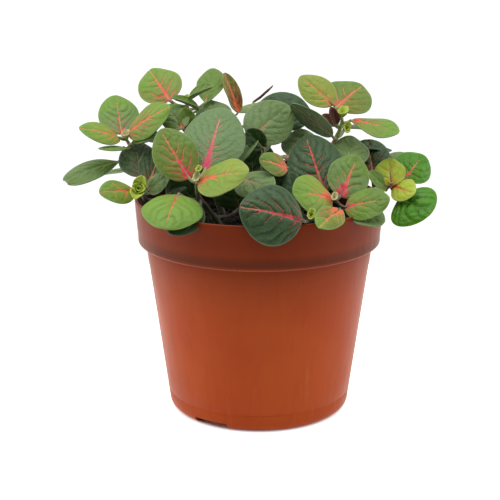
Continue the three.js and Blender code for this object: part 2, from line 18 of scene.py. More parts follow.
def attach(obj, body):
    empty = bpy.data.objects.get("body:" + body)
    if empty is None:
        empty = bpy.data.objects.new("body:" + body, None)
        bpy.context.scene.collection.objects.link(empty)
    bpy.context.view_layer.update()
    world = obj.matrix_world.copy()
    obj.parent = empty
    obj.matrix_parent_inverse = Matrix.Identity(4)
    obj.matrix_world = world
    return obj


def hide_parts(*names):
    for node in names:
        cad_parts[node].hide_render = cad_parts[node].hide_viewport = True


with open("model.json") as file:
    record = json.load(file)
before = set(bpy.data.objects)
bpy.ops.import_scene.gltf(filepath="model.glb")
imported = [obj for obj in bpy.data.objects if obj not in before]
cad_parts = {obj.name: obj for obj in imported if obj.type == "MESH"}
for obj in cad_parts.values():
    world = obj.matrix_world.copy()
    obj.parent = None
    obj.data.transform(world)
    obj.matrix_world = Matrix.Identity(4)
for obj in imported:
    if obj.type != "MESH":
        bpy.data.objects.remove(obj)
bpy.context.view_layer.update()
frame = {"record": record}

MM = 0.001
slot_of = {row["node"]: row["material_slot"] for row in frame["record"]["subparts"]}
bpy.ops.object.select_all(action="DESELECT")

# %% [markdown]
# ## Colours and small helpers
# Colours are easy to pick as screen codes, but materials store linear light. One helper turns the
# first into the second.

# %% Helpers for colours and pieces
def colour(code):
    """A six-digit screen colour as linear light with full alpha."""
    parts = [int(code[i:i + 2], 16) / 255 for i in (0, 2, 4)]
    linear = [c / 12.92 if c <= 0.04045 else ((c + 0.055) / 1.055) ** 2.4 for c in parts]
    return (*linear, 1.0)


def select_only(piece):
    bpy.ops.object.select_all(action="DESELECT")
    piece.select_set(True)
    bpy.context.view_layer.objects.active = piece


def new_piece(name, data):
    """Puts a mesh or a curve into the scene."""
    piece = bpy.data.objects.new(name, data)
    bpy.context.scene.collection.objects.link(piece)
    return piece


def belongs(piece, slot, *nodes):
    """Says that a finished piece rides with the plant and which solids it stands for."""
    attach(piece, "root")
    if nodes:
        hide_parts(*nodes)


# %% [markdown]
# ## Building materials from nodes
# A material is a small graph. Writing each link by hand hides the idea, so helpers make what is
# needed again and again, such as a calculation, a blend of two colours, a smooth step or a bump,
# from plain values or other nodes' sockets.

# %% Helpers for nodes
def feed(tree, socket, value):
    """Sets a socket from a number, a colour, or another node's output."""
    if isinstance(value, bpy.types.NodeSocket):
        tree.links.new(value, socket)
    else:
        socket.default_value = value


def calc(tree, operation, *values):
    node = tree.nodes.new("ShaderNodeMath")
    node.operation = operation
    for socket, value in zip(node.inputs, values):
        feed(tree, socket, value)
    return node.outputs[0]


def blend_colours(tree, amount, first, second):
    node = tree.nodes.new("ShaderNodeMix")
    node.data_type = "RGBA"
    feed(tree, node.inputs["Factor"], amount)
    feed(tree, node.inputs[6], first)
    feed(tree, node.inputs[7], second)
    return node.outputs[2]


def step(tree, value, start, end, low=0.0, high=1.0):
    """Goes smoothly from low to high while the value goes from start to end."""
    node = tree.nodes.new("ShaderNodeMapRange")
    node.interpolation_type = "SMOOTHSTEP"
    feed(tree, node.inputs["Value"], value)
    feed(tree, node.inputs["From Min"], start)
    feed(tree, node.inputs["From Max"], end)
    feed(tree, node.inputs["To Min"], low)
    feed(tree, node.inputs["To Max"], high)
    return node.outputs["Result"]


def texture(tree, kind, place, scale, **settings):
    """A noise or cell texture read at a place, with its inputs named by word."""
    node = tree.nodes.new(kind)
    tree.links.new(place, node.inputs["Vector"])
    node.inputs["Scale"].default_value = scale
    for name, value in settings.items():
        if name == "feature":
            node.feature = value
        else:
            node.inputs[name.replace("_", " ").title()].default_value = value
    return node


def object_place(tree, stretch=(1, 1, 1)):
    """The place on the piece in metres, stretched along an axis if asked."""
    coordinates = tree.nodes.new("ShaderNodeTexCoord")
    mapping = tree.nodes.new("ShaderNodeMapping")
    mapping.inputs["Scale"].default_value = stretch
    tree.links.new(coordinates.outputs["Object"], mapping.inputs["Vector"])
    return mapping.outputs["Vector"]


def tint(tree, mask, base, code):
    """Blends a screen colour over a base where the mask is high."""
    return blend_colours(tree, mask, base, colour(code))


def new_finish(name):
    """An empty material with its shader."""
    material = bpy.data.materials.new(name)
    material.use_nodes = True
    tree = material.node_tree
    return material, tree, tree.nodes["Principled BSDF"]


def new_group(name, inputs, outputs):
    """A node group whose sockets are named numbers, with its two end nodes."""
    group = bpy.data.node_groups.new(name, "ShaderNodeTree")
    for way, labels in (("INPUT", inputs), ("OUTPUT", outputs)):
        for label in labels:
            group.interface.new_socket(name=label, in_out=way, socket_type="NodeSocketFloat")
    return group, group.nodes.new("NodeGroupInput"), group.nodes.new("NodeGroupOutput")


def use_group(tree, group, **values):
    node = tree.nodes.new("ShaderNodeGroup")
    node.node_tree = group
    for name, value in values.items():
        feed(tree, node.inputs[name.replace("_", " ").title()], value)
    return node


def add_bump(tree, shader, height):
    """Turns a height in mm into bumps on the surface."""
    bump = tree.nodes.new("ShaderNodeBump")
    bump.inputs["Distance"].default_value = MM
    tree.links.new(height, bump.inputs["Height"])
    tree.links.new(bump.outputs["Normal"], shader.inputs["Normal"])


def height_of(tree, place):
    """The height in metres of a place."""
    split = tree.nodes.new("ShaderNodeSeparateXYZ")
    tree.links.new(place, split.inputs[0])
    return split.outputs["Z"]


def distance_of(tree, place):
    """The distance in metres of a place from the middle of the pot."""
    node = tree.nodes.new("ShaderNodeVectorMath")
    node.operation = "LENGTH"
    tree.links.new(place, node.inputs[0])
    return node.outputs["Value"]


print("node helpers ready")

# %% [markdown]
# ## Stage
# The plant stands on a round white table top in front of white paper. The table is small on
# purpose: it lights the foot of the pot from below and leaves the rim dark, as a real one does.
# A large floor would light the whole pot evenly. The table glows too, more to the camera than
# onto the pot, and not at all right under it.

# %% Floor
FLOOR_RADIUS = 0.26
GLOW_SEEN, GLOW_LIGHT = 0.65, 0.25
DARK_UNDER_POT = 40
bpy.ops.mesh.primitive_circle_add(vertices=96, radius=FLOOR_RADIUS, fill_type="NGON")
floor = bpy.context.object
floor.name = "floor"
floor_finish, floor_tree, floor_shader = new_finish("floor_white")
floor_shader.inputs["Base Color"].default_value = (0.93, 0.93, 0.93, 1)
floor_shader.inputs["Roughness"].default_value = 0.7
floor_shader.inputs["Emission Color"].default_value = (1, 1, 1, 1)
floor_seen = floor_tree.nodes.new("ShaderNodeLightPath").outputs["Is Camera Ray"]
floor_glow = calc(floor_tree, "MULTIPLY_ADD", floor_seen, GLOW_SEEN, GLOW_LIGHT)
floor_place = floor_tree.nodes.new("ShaderNodeTexCoord").outputs["Object"]
under_pot = floor_tree.nodes.new("ShaderNodeMapRange")
floor_tree.links.new(distance_of(floor_tree, floor_place), under_pot.inputs["Value"])
under_pot.inputs["From Min"].default_value = DARK_UNDER_POT * MM
under_pot.inputs["From Max"].default_value = (DARK_UNDER_POT + 4) * MM
floor_light = calc(floor_tree, "MULTIPLY", under_pot.outputs["Result"], floor_glow)
floor_tree.links.new(floor_light, floor_shader.inputs["Emission Strength"])
floor.data.materials.append(floor_finish)
print("floor", tuple(round(v, 1) for v in floor.dimensions))

# %% [markdown]
# ## Camera
# A long lens from a little above gives the calm look of a catalogue picture. The place, the tilt
# and the lens decide which leaves hide which, so they come before anything is modelled.

# %% Camera
CAMERA_PLACE = (-4.4 * MM, -662 * MM, 259 * MM)
CAMERA_TILT_DOWN = 15.3
CAMERA_LENS = 101.2
bpy.ops.object.camera_add(
    location=CAMERA_PLACE, rotation=(math.radians(90 - CAMERA_TILT_DOWN), 0, 0)
)
camera = bpy.context.object
camera.name = "camera"
camera.data.lens = CAMERA_LENS
camera.data.sensor_width = 36
camera.data.clip_end = 50
bpy.context.scene.camera = camera
print("camera", camera.data.lens, "mm lens")

# %% [markdown]
# ## Light
# The pot is dark in the middle and pale at its sides, which is what two large side lights do to a
# round satin thing. A sky that is brighter at the sides and top than in front does most of that
# without noise. Three soft panels add the gentle gloss on the leaves.

# %% Sky
SKY_FRONT = 0.01
SKY_SIDES = 1.3
SKY_BACK = 0.7
SKY_TOP = 0.9
SKY_SEEN = 1.1
world = bpy.data.worlds.new("studio")
bpy.context.scene.world = world
world.use_nodes = True
sky = world.node_tree
background = sky.nodes["Background"]
background.inputs["Color"].default_value = (1, 1, 1, 1)
direction = sky.nodes.new("ShaderNodeTexCoord")
parts = sky.nodes.new("ShaderNodeSeparateXYZ")
sky.links.new(direction.outputs["Generated"], parts.inputs[0])
sideways = calc(sky, "POWER", calc(sky, "ABSOLUTE", parts.outputs["X"]), 4.0)
behind = calc(sky, "MAXIMUM", parts.outputs["Y"], 0.0)
upwards = calc(sky, "POWER", calc(sky, "MAXIMUM", parts.outputs["Z"], 0.0), 2.0)
glow = calc(sky, "MULTIPLY", sideways, SKY_SIDES)
glow = calc(sky, "ADD", glow, calc(sky, "MULTIPLY", behind, SKY_BACK))
glow = calc(sky, "ADD", glow, calc(sky, "MULTIPLY", upwards, SKY_TOP))
glow = calc(sky, "ADD", glow, SKY_FRONT)
seen = sky.nodes.new("ShaderNodeLightPath").outputs["Is Camera Ray"]
glow = calc(sky, "MAXIMUM", glow, calc(sky, "MULTIPLY", seen, SKY_SEEN))
sky.links.new(glow, background.inputs["Strength"])
print("sky ready")

# %% Soft panels
def panel(name, place, aim, size, power):
    bpy.ops.object.light_add(type="AREA", location=place)
    lamp = bpy.context.object
    lamp.name = name
    lamp.data.shape = "SQUARE"
    lamp.data.size = size
    lamp.data.energy = power
    lamp.rotation_euler = (Vector(aim) - Vector(place)).to_track_quat("-Z", "Y").to_euler()


panel("panel_left", (-0.9, 0.05, 0.5), (0, 0, 0.09), 0.6, 2.4)
panel("panel_right", (0.9, 0.05, 0.5), (0, 0, 0.09), 0.6, 2.0)
panel("panel_top", (-0.1, -0.12, 1.0), (0, 0, 0.12), 0.5, 3.4)
bpy.context.scene.view_settings.view_transform = "Standard"
print("panels ready")

# %% [markdown]
# ## The veins as a node group
# On a nerve plant the midrib and the side veins are bright near the stalk and fade towards the
# tip. A painted image could show them, but would blur when enlarged. Instead each leaf's mesh
# carries five measures: which side vein is nearest, the distance from the midrib, how far from
# the stalk, how strong that side vein is, and how far in from the margin. The group turns the
# first four into sharp masks.

# %% Vein group
veins, v_in, v_out = new_group(
    "leaf_veins",
    ["Phase", "Rib Distance", "From Stalk", "Reach", "Rib Width", "Side Width", "Wander", "Strength"],
    ["Rib", "Side", "Pillow", "Groove"],
)
v_phase = calc(veins, "ADD", v_in.outputs["Phase"], v_in.outputs["Wander"])
v_near = calc(veins, "SUBTRACT", 0.5, calc(
    veins, "ABSOLUTE", calc(veins, "SUBTRACT", calc(veins, "FRACT", v_phase), 0.5)))
v_share = calc(veins, "DIVIDE", v_in.outputs["From Stalk"], v_in.outputs["Reach"])
v_fade = calc(veins, "MAXIMUM", calc(veins, "SUBTRACT", 1.0, v_share), 0.0)
v_own_share = calc(veins, "DIVIDE", v_share, v_in.outputs["Strength"])
v_own_fade = calc(veins, "MAXIMUM", calc(veins, "SUBTRACT", 1.0, v_own_share), 0.0)
v_strong = calc(veins, "MULTIPLY", v_fade, v_fade)
v_taper = calc(veins, "ADD", calc(veins, "MULTIPLY", v_strong, 0.85), 0.15)
v_side_taper = calc(veins, "ADD", calc(veins, "MULTIPLY", v_strong, 1.7), 0.45)
v_side_width = calc(veins, "MULTIPLY", v_in.outputs["Side Width"], v_side_taper)
v_short = calc(veins, "MULTIPLY", v_in.outputs["Strength"], calc(
    veins, "ADD", 3.0, calc(veins, "MULTIPLY", v_fade, 11.0)))
v_out_fade = step(veins, calc(veins, "DIVIDE", v_in.outputs["Rib Distance"], v_short), 0.35, 1, 1, 0)
v_rib_width = calc(veins, "MULTIPLY", v_in.outputs["Rib Width"], v_taper)
v_side = step(veins, v_near, calc(veins, "MULTIPLY", v_side_width, 0.35), v_side_width, 1, 0)
v_rib = step(
    veins, v_in.outputs["Rib Distance"], calc(veins, "MULTIPLY", v_rib_width, 0.5), v_rib_width,
    1, 0,
)
v_shown = step(veins, v_own_fade, 0.0, 0.30)
v_rib_shown = step(veins, v_fade, 0.0, 0.12)
veins.links.new(calc(veins, "MULTIPLY", v_rib, v_rib_shown), v_out.inputs["Rib"])
v_shown = calc(veins, "MULTIPLY", v_shown, v_out_fade)
veins.links.new(calc(veins, "MULTIPLY", v_side, v_shown), v_out.inputs["Side"])
veins.links.new(step(veins, v_near, 0.12, 0.45), v_out.inputs["Pillow"])
v_groove = step(veins, v_near, 0.0, 0.16, 1, 0)
veins.links.new(calc(veins, "MAXIMUM", v_groove, v_rib), v_out.inputs["Groove"])
print("vein group", len(veins.nodes), "nodes")

# %% [markdown]
# ## The leaf's skin as a node group
# The skin is made of small pillows, about a millimetre wide, that break up the light. Cells from
# a Voronoi texture give the pillows and the net of tiny veins between them. A cloud of noise
# makes the green uneven. The group gives out a height, the net, the cloud and a fine grain.

# %% Skin group
skin, s_in, s_out = new_group(
    "leaf_skin", ["Pebble", "Net Scale"], ["Height", "Net", "Cloud", "Fine"])
s_place = object_place(skin)
s_cells = texture(skin, "ShaderNodeTexVoronoi", s_place, 900.0, feature="SMOOTH_F1")
s_net = texture(skin, "ShaderNodeTexVoronoi", s_place, 420.0, feature="DISTANCE_TO_EDGE")
skin.links.new(s_in.outputs["Net Scale"], s_net.inputs["Scale"])
s_cloud = texture(skin, "ShaderNodeTexNoise", s_place, 130.0, detail=3.0)
s_fine = texture(skin, "ShaderNodeTexNoise", s_place, 900.0, detail=2.0)
s_height = calc(skin, "MULTIPLY", calc(skin, "SUBTRACT", 0.5, s_cells.outputs["Distance"]),
                s_in.outputs["Pebble"])
s_lines = step(skin, s_net.outputs["Distance"], 0.0, 0.09, 1, 0)
s_height = calc(skin, "SUBTRACT", s_height,
                calc(skin, "MULTIPLY", s_lines, calc(skin, "MULTIPLY", s_in.outputs["Pebble"], 0.4)))
skin.links.new(s_height, s_out.inputs["Height"])
skin.links.new(s_lines, s_out.inputs["Net"])
skin.links.new(step(skin, s_cloud.outputs["Fac"], 0.3, 0.7), s_out.inputs["Cloud"])
skin.links.new(s_fine.outputs["Fac"], s_out.inputs["Fine"])
print("skin group", len(skin.nodes), "nodes")

# %% [markdown]
# ## Leaf finishes
# Leaves of one plant differ with age and light: the newest are lime with coral veins, the grown
# ones green with a hot pink base, and the old shaded ones dark or greyish with thin veins. Each
# kind is one row: its greens, its vein colours and how far, how wide and how rough. One function
# makes the material from a row.

# %% Leaf kinds
GREENS = {
    "lime": "bace42", "yellow": "8ea03a", "fresh": "729832", "soft": "66862e", "grey": "6a8448",
    "dusty": "6e8a56", "olive": "828036", "bronze": "80502a", "deep": "304a1e", "darkest": "24410f",
    "bluish": "36522c", "gloss": "468600", "cream": "cfc98a", "maroon": "6c3a34",
}
VEIN_COLOURS = {
    "hot": "ee3a58", "pink": "e8506c", "coral": "ec5c46", "orange": "e87040", "peach": "ea8c5c",
    "salmon": "dc8a74", "crimson": "d63c48", "brown": "8a6a42", "faint": "84864e",
}
# blade, centre, vein at the stalk, vein further out, reach, splash, rib width in mm, side vein
# width as a share of their spacing, pucker in mm, pebble in mm, roughness
LEAF_KINDS = {
    "green_pink": ("fresh", "dusty", "hot", "peach", .80, .12, 1.5, .08, .30, .10, .46),
    "olive_coral": ("fresh", "olive", "coral", "peach", 1.10, .10, 1.6, .09, .30, .10, .46),
    "amber_coral": ("fresh", "yellow", "orange", "peach", 1.10, .14, 1.4, .09, .25, .10, .46),
    "plain_old": ("grey", "soft", "brown", "faint", .45, .00, 0.9, .04, .20, .14, .46),
    "fresh_orange": ("fresh", "yellow", "orange", "peach", 1.00, .10, 1.4, .09, .25, .10, .46),
    "dark_red": ("deep", "deep", "crimson", "brown", .75, .05, 0.9, .05, .45, .16, .44),
    "deep_coral": ("deep", "deep", "coral", "orange", .72, .10, 1.4, .06, .40, .14, .44),
    "plain_green": ("soft", "soft", "peach", "faint", .35, .02, 0.8, .04, .25, .10, .46),
    "maroon": ("olive", "bronze", "orange", "peach", 1.20, .30, 1.6, .08, .20, .10, .46),
    "plain_coral": ("soft", "dusty", "coral", "peach", .55, .06, 1.1, .06, .30, .12, .46),
    "grey_plain": ("grey", "grey", "salmon", "faint", .35, .00, 0.8, .04, .30, .20, .46),
    "grey_pink": ("dusty", "dusty", "pink", "salmon", .84, .16, 2.4, .06, .25, .22, .46),
    "olive_pink": ("soft", "olive", "hot", "peach", 1.00, .20, 2.0, .08, .30, .12, .46),
    "lime_coral": ("yellow", "fresh", "coral", "peach", .85, .24, 1.7, .09, .25, .10, .46),
    "bright_orange": ("fresh", "fresh", "orange", "peach", .90, .06, 1.2, .04, .45, .14, .44),
    "deep_plain": ("darkest", "darkest", "brown", "faint", .40, .00, 0.8, .04, .35, .12, .44),
    "grey_salmon": ("grey", "dusty", "coral", "peach", .55, .05, 1.2, .05, .30, .16, .46),
    "grey_red": ("grey", "dusty", "crimson", "salmon", .70, .08, 1.2, .05, .45, .20, .46),
    "lime_blush": ("soft", "olive", "coral", "peach", 1.00, .34, 1.4, .09, .20, .10, .46),
    "blush_green": ("soft", "olive", "coral", "peach", 1.00, .20, 2.0, .07, .30, .12, .46),
    "cream_vein": ("yellow", "yellow", "orange", "peach", .95, .22, 1.3, .07, .20, .10, .46),
    "blush_lime": ("fresh", "olive", "coral", "peach", .80, .26, 1.5, .06, .20, .10, .46),
    "dark_coral": ("bluish", "deep", "crimson", "coral", .95, .10, 1.5, .06, .75, .22, .40),
    "splash_green": ("soft", "dusty", "hot", "peach", .85, .28, 2.6, .08, .45, .12, .44),
    "light_coral": ("fresh", "yellow", "coral", "peach", .80, .28, 1.5, .09, .25, .10, .46),
    "green_blush": ("soft", "fresh", "hot", "peach", .75, .20, 1.6, .08, .30, .12, .46),
    "bronze": ("fresh", "bronze", "orange", "peach", 1.10, .40, 1.4, .09, .30, .10, .44),
    "dark_plain": ("bluish", "deep", "crimson", "faint", .45, .02, 0.9, .04, .50, .18, .44),
    "dark_crimson": ("bluish", "bluish", "crimson", "salmon", 1.25, .05, 1.7, .05, .95, .20, .38),
    "bud_lime": ("lime", "lime", "orange", "peach", .90, .24, 1.2, .08, .25, .10, .46),
    "glossy_coral": ("gloss", "gloss", "coral", "peach", .80, .08, 1.4, .06, .60, .14, .36),
    "glossy_green": ("gloss", "gloss", "brown", "faint", .35, .02, 0.9, .04, .80, .12, .36),
    "heart_lime": ("lime", "yellow", "faint", "faint", .50, .00, 0.6, .05, .20, .08, .46),
    "heart_cream": ("cream", "cream", "faint", "faint", .50, .00, 0.4, .05, .05, .06, .50),
    "heart_maroon": ("maroon", "maroon", "brown", "brown", .80, .10, 0.8, .05, .10, .12, .44),
}
PALE_MARGIN = 0.30
# How far the painted shade in the grooves darkens the blade's green.
PAINTED_GROOVE_SHADE = 0.72
print(len(LEAF_KINDS), "kinds of leaf")


# %% Leaf material
def leaf_measures(tree):
    """The five measures that a leaf's mesh carries."""
    where = tree.nodes.new("ShaderNodeAttribute")
    where.attribute_name = "leaf_place"
    split = tree.nodes.new("ShaderNodeSeparateXYZ")
    tree.links.new(where.outputs["Vector"], split.inputs[0])
    extra = []
    for name in ("margin_mm", "vein_strength"):
        node = tree.nodes.new("ShaderNodeAttribute")
        node.attribute_name = name
        extra.append(node.outputs["Fac"])
    return split.outputs["X"], split.outputs["Y"], split.outputs["Z"], *extra


def leaf_finish(name, row):
    blade, centre = (colour(GREENS[word]) for word in row[:2])
    near, far = (colour(VEIN_COLOURS[word]) for word in row[2:4])
    margin = tuple(c + (0.6 - c) * PALE_MARGIN * c ** 0.3 for c in blade[:3]) + (1,)
    reach, splash, rib_width, side_width, pucker, pebble, rough = row[4:]
    relief = min(1.0, 1.1 * pucker)
    material, tree, shader = new_finish(name)
    phase, rib_distance, from_stalk, edge, strength = leaf_measures(tree)
    surface = use_group(tree, skin, pebble=pebble, net_scale=460.0)
    ragged = calc(tree, "SUBTRACT", surface.outputs["Fine"], 0.5)
    wander = calc(tree, "MULTIPLY", calc(tree, "SUBTRACT", surface.outputs["Cloud"], 0.5), 0.14)
    wander = calc(tree, "ADD", wander, calc(tree, "MULTIPLY", ragged, 0.14))
    frayed = calc(tree, "ADD", rib_distance, calc(tree, "MULTIPLY", ragged, 1.3))
    pattern = use_group(
        tree, veins, phase=phase, rib_distance=frayed, from_stalk=from_stalk, reach=reach,
        rib_width=rib_width, side_width=side_width, wander=wander, strength=strength,
    )
    # The green: the centre's tone gives way to the blade's, uneven as the cloud, with painted shade
    # in the grooves and painted highlights on the pillows between them.
    outward = step(tree, from_stalk, 0.15, 0.95)
    cloudy = calc(tree, "MULTIPLY", calc(tree, "SUBTRACT", surface.outputs["Cloud"], 0.5), 0.7)
    green = blend_colours(tree, calc(tree, "ADD", outward, cloudy), centre, blade)
    # Painted shade: the green darkens in the grooves between the pillows, more where the pucker is deep.
    groove_shade_colour = tuple(c * PAINTED_GROOVE_SHADE for c in blade[:3]) + (1,)
    inner = step(tree, edge, 0.5, 6.0, 0.2, 1)
    groove = calc(tree, "MULTIPLY", pattern.outputs["Groove"], inner)
    shade = calc(tree, "MULTIPLY", groove, 0.6 * relief)
    green = blend_colours(tree, shade, green, groove_shade_colour)
    # Painted highlight: the pillows between the veins are lightened, more where the pucker is deep.
    pillow_highlight_colour = tuple(min(1.0, c * 1.45 + 0.01) for c in blade[:3]) + (1,)
    pillow_highlight_mask = calc(tree, "MULTIPLY", pattern.outputs["Pillow"], inner)
    green = blend_colours(tree, calc(tree, "MULTIPLY", pillow_highlight_mask, 0.6 * relief), green, pillow_highlight_colour)
    pale = calc(tree, "MULTIPLY", surface.outputs["Net"], 0.22)
    green = blend_colours(tree, pale, green, margin)
    rim = step(tree, edge, 0.25, 0.8, 0.75, 0)
    green = blend_colours(tree, rim, green, margin)
    # The veins: bright at the stalk, paler further out, with a feathered splash at the foot.
    along = step(tree, from_stalk, 0.1, calc(tree, "MULTIPLY", reach, 0.85))
    vein_colour = blend_colours(tree, along, near, far)
    feather = calc(tree, "ADD", calc(tree, "MULTIPLY", surface.outputs["Net"], 0.10),
                   calc(tree, "MULTIPLY", surface.outputs["Fine"], 0.12))
    spread = calc(tree, "SUBTRACT", calc(tree, "ADD", splash, feather), from_stalk)
    spread = calc(tree, "SUBTRACT", spread, calc(tree, "MULTIPLY", rib_distance, 0.035))
    blush = step(tree, spread, -0.06, 0.14, 0, 0.8)
    mask = calc(tree, "MAXIMUM", pattern.outputs["Rib"], pattern.outputs["Side"])
    mask = calc(tree, "MAXIMUM", mask, blush)
    tree.links.new(blend_colours(tree, mask, green, vein_colour), shader.inputs["Base Color"])
    # The gloss is broken by the pebbles, and the grooves are sunk a little further than the mesh.
    roughness = step(tree, surface.outputs["Fine"], 0.2, 0.8, rough - 0.05, rough + 0.10)
    tree.links.new(roughness, shader.inputs["Roughness"])
    sunk = calc(tree, "MULTIPLY", groove, -0.12)
    add_bump(tree, shader, calc(tree, "ADD", surface.outputs["Height"], sunk))
    shader.inputs["Specular IOR Level"].default_value = 0.32
    return material


leaf_finishes = {name: leaf_finish("leaf_" + name, row) for name, row in LEAF_KINDS.items()}
print(len(leaf_finishes), "leaf finishes")

# %% [markdown]
# ## The underside
# Below, a leaf is paler and greyer, and its veins stand out instead of being sunk. It is one
# material for all leaves, because the undersides differ much less than the tops.

# %% Underside
underside, under_tree, under_shader = new_finish("leaf_underside")
under_measures = leaf_measures(under_tree)
under_skin = use_group(under_tree, skin, pebble=0.12, net_scale=520.0)
under_veins = use_group(
    under_tree, veins, phase=under_measures[0], rib_distance=under_measures[1],
    from_stalk=under_measures[2], reach=1.6, rib_width=0.9, side_width=0.09, wander=0.0,
    strength=under_measures[4],
)
under_green = tint(under_tree, under_skin.outputs["Cloud"], colour("7d9468"), "8ca276")
under_net = calc(under_tree, "MULTIPLY", under_skin.outputs["Net"], 0.4)
under_green = tint(under_tree, under_net, under_green, "a3b58a")
under_mask = calc(under_tree, "MAXIMUM", under_veins.outputs["Rib"],
                  calc(under_tree, "MULTIPLY", under_veins.outputs["Side"], 0.7))
under_green = tint(under_tree, under_mask, under_green, "b7b48a")
under_tree.links.new(under_green, under_shader.inputs["Base Color"])
under_shader.inputs["Roughness"].default_value = 0.6
under_height = calc(under_tree, "ADD", under_skin.outputs["Height"],
                    calc(under_tree, "MULTIPLY", under_mask, 0.25))
add_bump(under_tree, under_shader, under_height)
print("underside", len(under_tree.nodes), "nodes")

# %% [markdown]
# ## The shape of a leaf
# A leaf is a broad oval that arches from foot to tip and droops at its sides, with a channel along
# each vein and a soft pillow between two. It could be sculpted, but the plant has dozens. So a
# flat grid is added, squeezed to a round shape and moved point by point by the leaf's own
# formula. A round grid keeps its squares even up to the margin, where rows would bunch up.

# %% Leaf formula
BLADE_THICKNESS = 0.42
SIDE_VEIN_SLOPE = 0.40
SIDE_VEIN_CURVE = 0.14
VEIN_SPACING = 5.6


def half_width(t, widest):
    """Half the width, as a share of the widest, from foot (0) to tip (1)."""
    taper = math.log(0.5) / math.log(widest)
    round_end = np.sin(math.pi * np.clip(t, 0, 1) ** taper).clip(0) ** 0.52
    return round_end * (1 - 0.08 * t ** 6)


def leaf_axes(foot, tip, faces):
    foot = Vector(foot)
    chord = Vector(tip) - foot
    along = chord.normalized()
    up = Vector(faces)
    up = (up - along * up.dot(along)).normalized()
    return foot, chord.length, along, up, up.cross(along)


def leaf_points(shape, t, s, lift=0.0):
    """Places for shares t along and s across a leaf, raised from its skin by lift. All in mm."""
    foot, tip, width, faces, arch, cup, widest = shape
    foot, length, along, up, side = leaf_axes(foot, tip, faces)
    turn = math.radians(arch)
    bend = math.radians(cup)
    half = math.sin(turn / 2)
    angle = turn * (t - 0.5)
    x = (np.sin(angle) + half) / (2 * half)
    z = (np.cos(angle) - math.cos(turn / 2)) / (2 * half)
    w = width / 2 * half_width(t, widest)
    normal = np.outer(np.cos(angle), up) + np.outer(np.sin(angle), along)
    points = np.outer(length * x, along) + np.outer(length * z, up) + np.array(foot)
    points += np.outer(w * np.sin(bend * s) / bend, side)
    points += normal * (w * (1 - np.cos(bend * s)) / bend)[:, None]
    out = normal * np.cos(bend * s)[:, None] - np.outer(np.sin(bend * s), side)
    return points + out * np.broadcast_to(lift, t.shape)[:, None]


def vein_phase(t, s, pairs, shift):
    """Counts the side veins: a whole number on a vein, halves in the middle between two."""
    across = np.abs(s)
    route = t ** 0.92 - SIDE_VEIN_SLOPE * across ** 1.1 - SIDE_VEIN_CURVE * across ** 3
    return pairs * route + shift * np.tanh(6 * s) + 0.35


print("side veins", VEIN_SPACING, "mm apart")


# %% Leaf maker
def make_leaf(name, shape, kind, cells=(48, 34), wave=0.32, bite=0.0):
    """One leaf blade as a closed mesh with its top and underside finishes."""
    row = LEAF_KINDS[kind]
    pucker = row[8]
    length = (Vector(shape[1]) - Vector(shape[0])).length
    width = shape[2]
    chance = random.Random(name)
    bpy.ops.mesh.primitive_grid_add(x_subdivisions=cells[0], y_subdivisions=cells[1], size=2)
    leaf = bpy.context.object
    leaf.name = name
    leaf.data.name = name
    count = len(leaf.data.vertices)
    flat = np.empty(count * 3)
    leaf.data.vertices.foreach_get("co", flat)
    x, y = flat.reshape(-1, 3)[:, 0], flat.reshape(-1, 3)[:, 1]
    a = x * np.sqrt(1 - y * y / 2)
    b = y * np.sqrt(1 - x * x / 2)
    t = (1 + a) / 2
    s = np.clip(b / np.sqrt(np.clip(1 - a * a, 1e-6, None)), -1, 1)
    out = np.sqrt(a * a + b * b)
    pairs = max(3, round(length / VEIN_SPACING))
    phase = vein_phase(t, s, pairs, chance.uniform(-0.3, 0.3))
    seed = Vector((chance.uniform(0, 50), chance.uniform(0, 50), 0))
    spots = [Vector((u * length, v * width / 2, 0)) for u, v in zip(t, s)]
    phase += [0.55 * noise.noise(spot * 0.15 + seed) for spot in spots]
    rib = np.abs(s) * half_width(t, shape[6]) * width / 2
    near = 0.5 - np.abs(phase % 1 - 0.5)
    calm = np.clip(rib / 1.5, 0, 1) * (1 - out ** 3)
    lift = 1.1 * pucker * (1 - (1 - np.clip(near * 3, 0, 1)) ** 2 - 0.45) * calm
    lift -= 0.55 * np.exp(-((rib / 0.8) ** 2)) * (1 - 0.6 * t) * (0.5 + 0.5 * min(pucker, 1))
    turn = np.arctan2(b, a)
    waves = chance.choice((3, 4, 5))
    lift += wave * out ** 4 * np.sin(waves * turn + chance.uniform(0, 6.3))
    for i, spot in enumerate(spots):
        lift[i] += (0.16 + 0.26 * pucker) * noise.noise(spot * 0.42 + seed) * (1 - out[i] ** 8)
        lift[i] += wave * 1.2 * noise.noise(spot * 0.09 - seed)
    if bite:
        t = np.where(out > 0.9, t - bite * np.exp(-((b - 0.12) / 0.12) ** 2) * (a > 0), t)
    points = leaf_points(shape, t, s, lift)
    leaf.data.vertices.foreach_set("co", (points * MM).ravel())
    place = leaf.data.attributes.new("leaf_place", "FLOAT_VECTOR", "POINT")
    from_stalk = t + 0.30 * np.abs(s) * np.clip(1.2 - t, 0, 1)
    place.data.foreach_set("vector", np.column_stack([phase, rib, from_stalk]).ravel())
    strengths = {(k, e): chance.uniform(0.62, 1.15) for k in range(-9, 20) for e in (0, 1)}
    strength = [strengths[round(p), int(v > 0)] for p, v in zip(phase, s)]
    reach = leaf.data.attributes.new("vein_strength", "FLOAT", "POINT")
    reach.data.foreach_set("value", strength)
    margin = leaf.data.attributes.new("margin_mm", "FLOAT", "POINT")
    margin.data.foreach_set("value", (1 - out) * width / 2)
    leaf.data.update()
    bpy.ops.object.shade_smooth()
    leaf.data.materials.append(leaf_finishes[kind])
    leaf.data.materials.append(underside)
    solid = leaf.modifiers.new("thickness", "SOLIDIFY")
    solid.thickness = BLADE_THICKNESS * MM
    solid.offset = 0
    solid.material_offset = 1
    bpy.ops.object.modifier_apply(modifier="thickness")
    return leaf


print("blade", BLADE_THICKNESS, "mm thick")

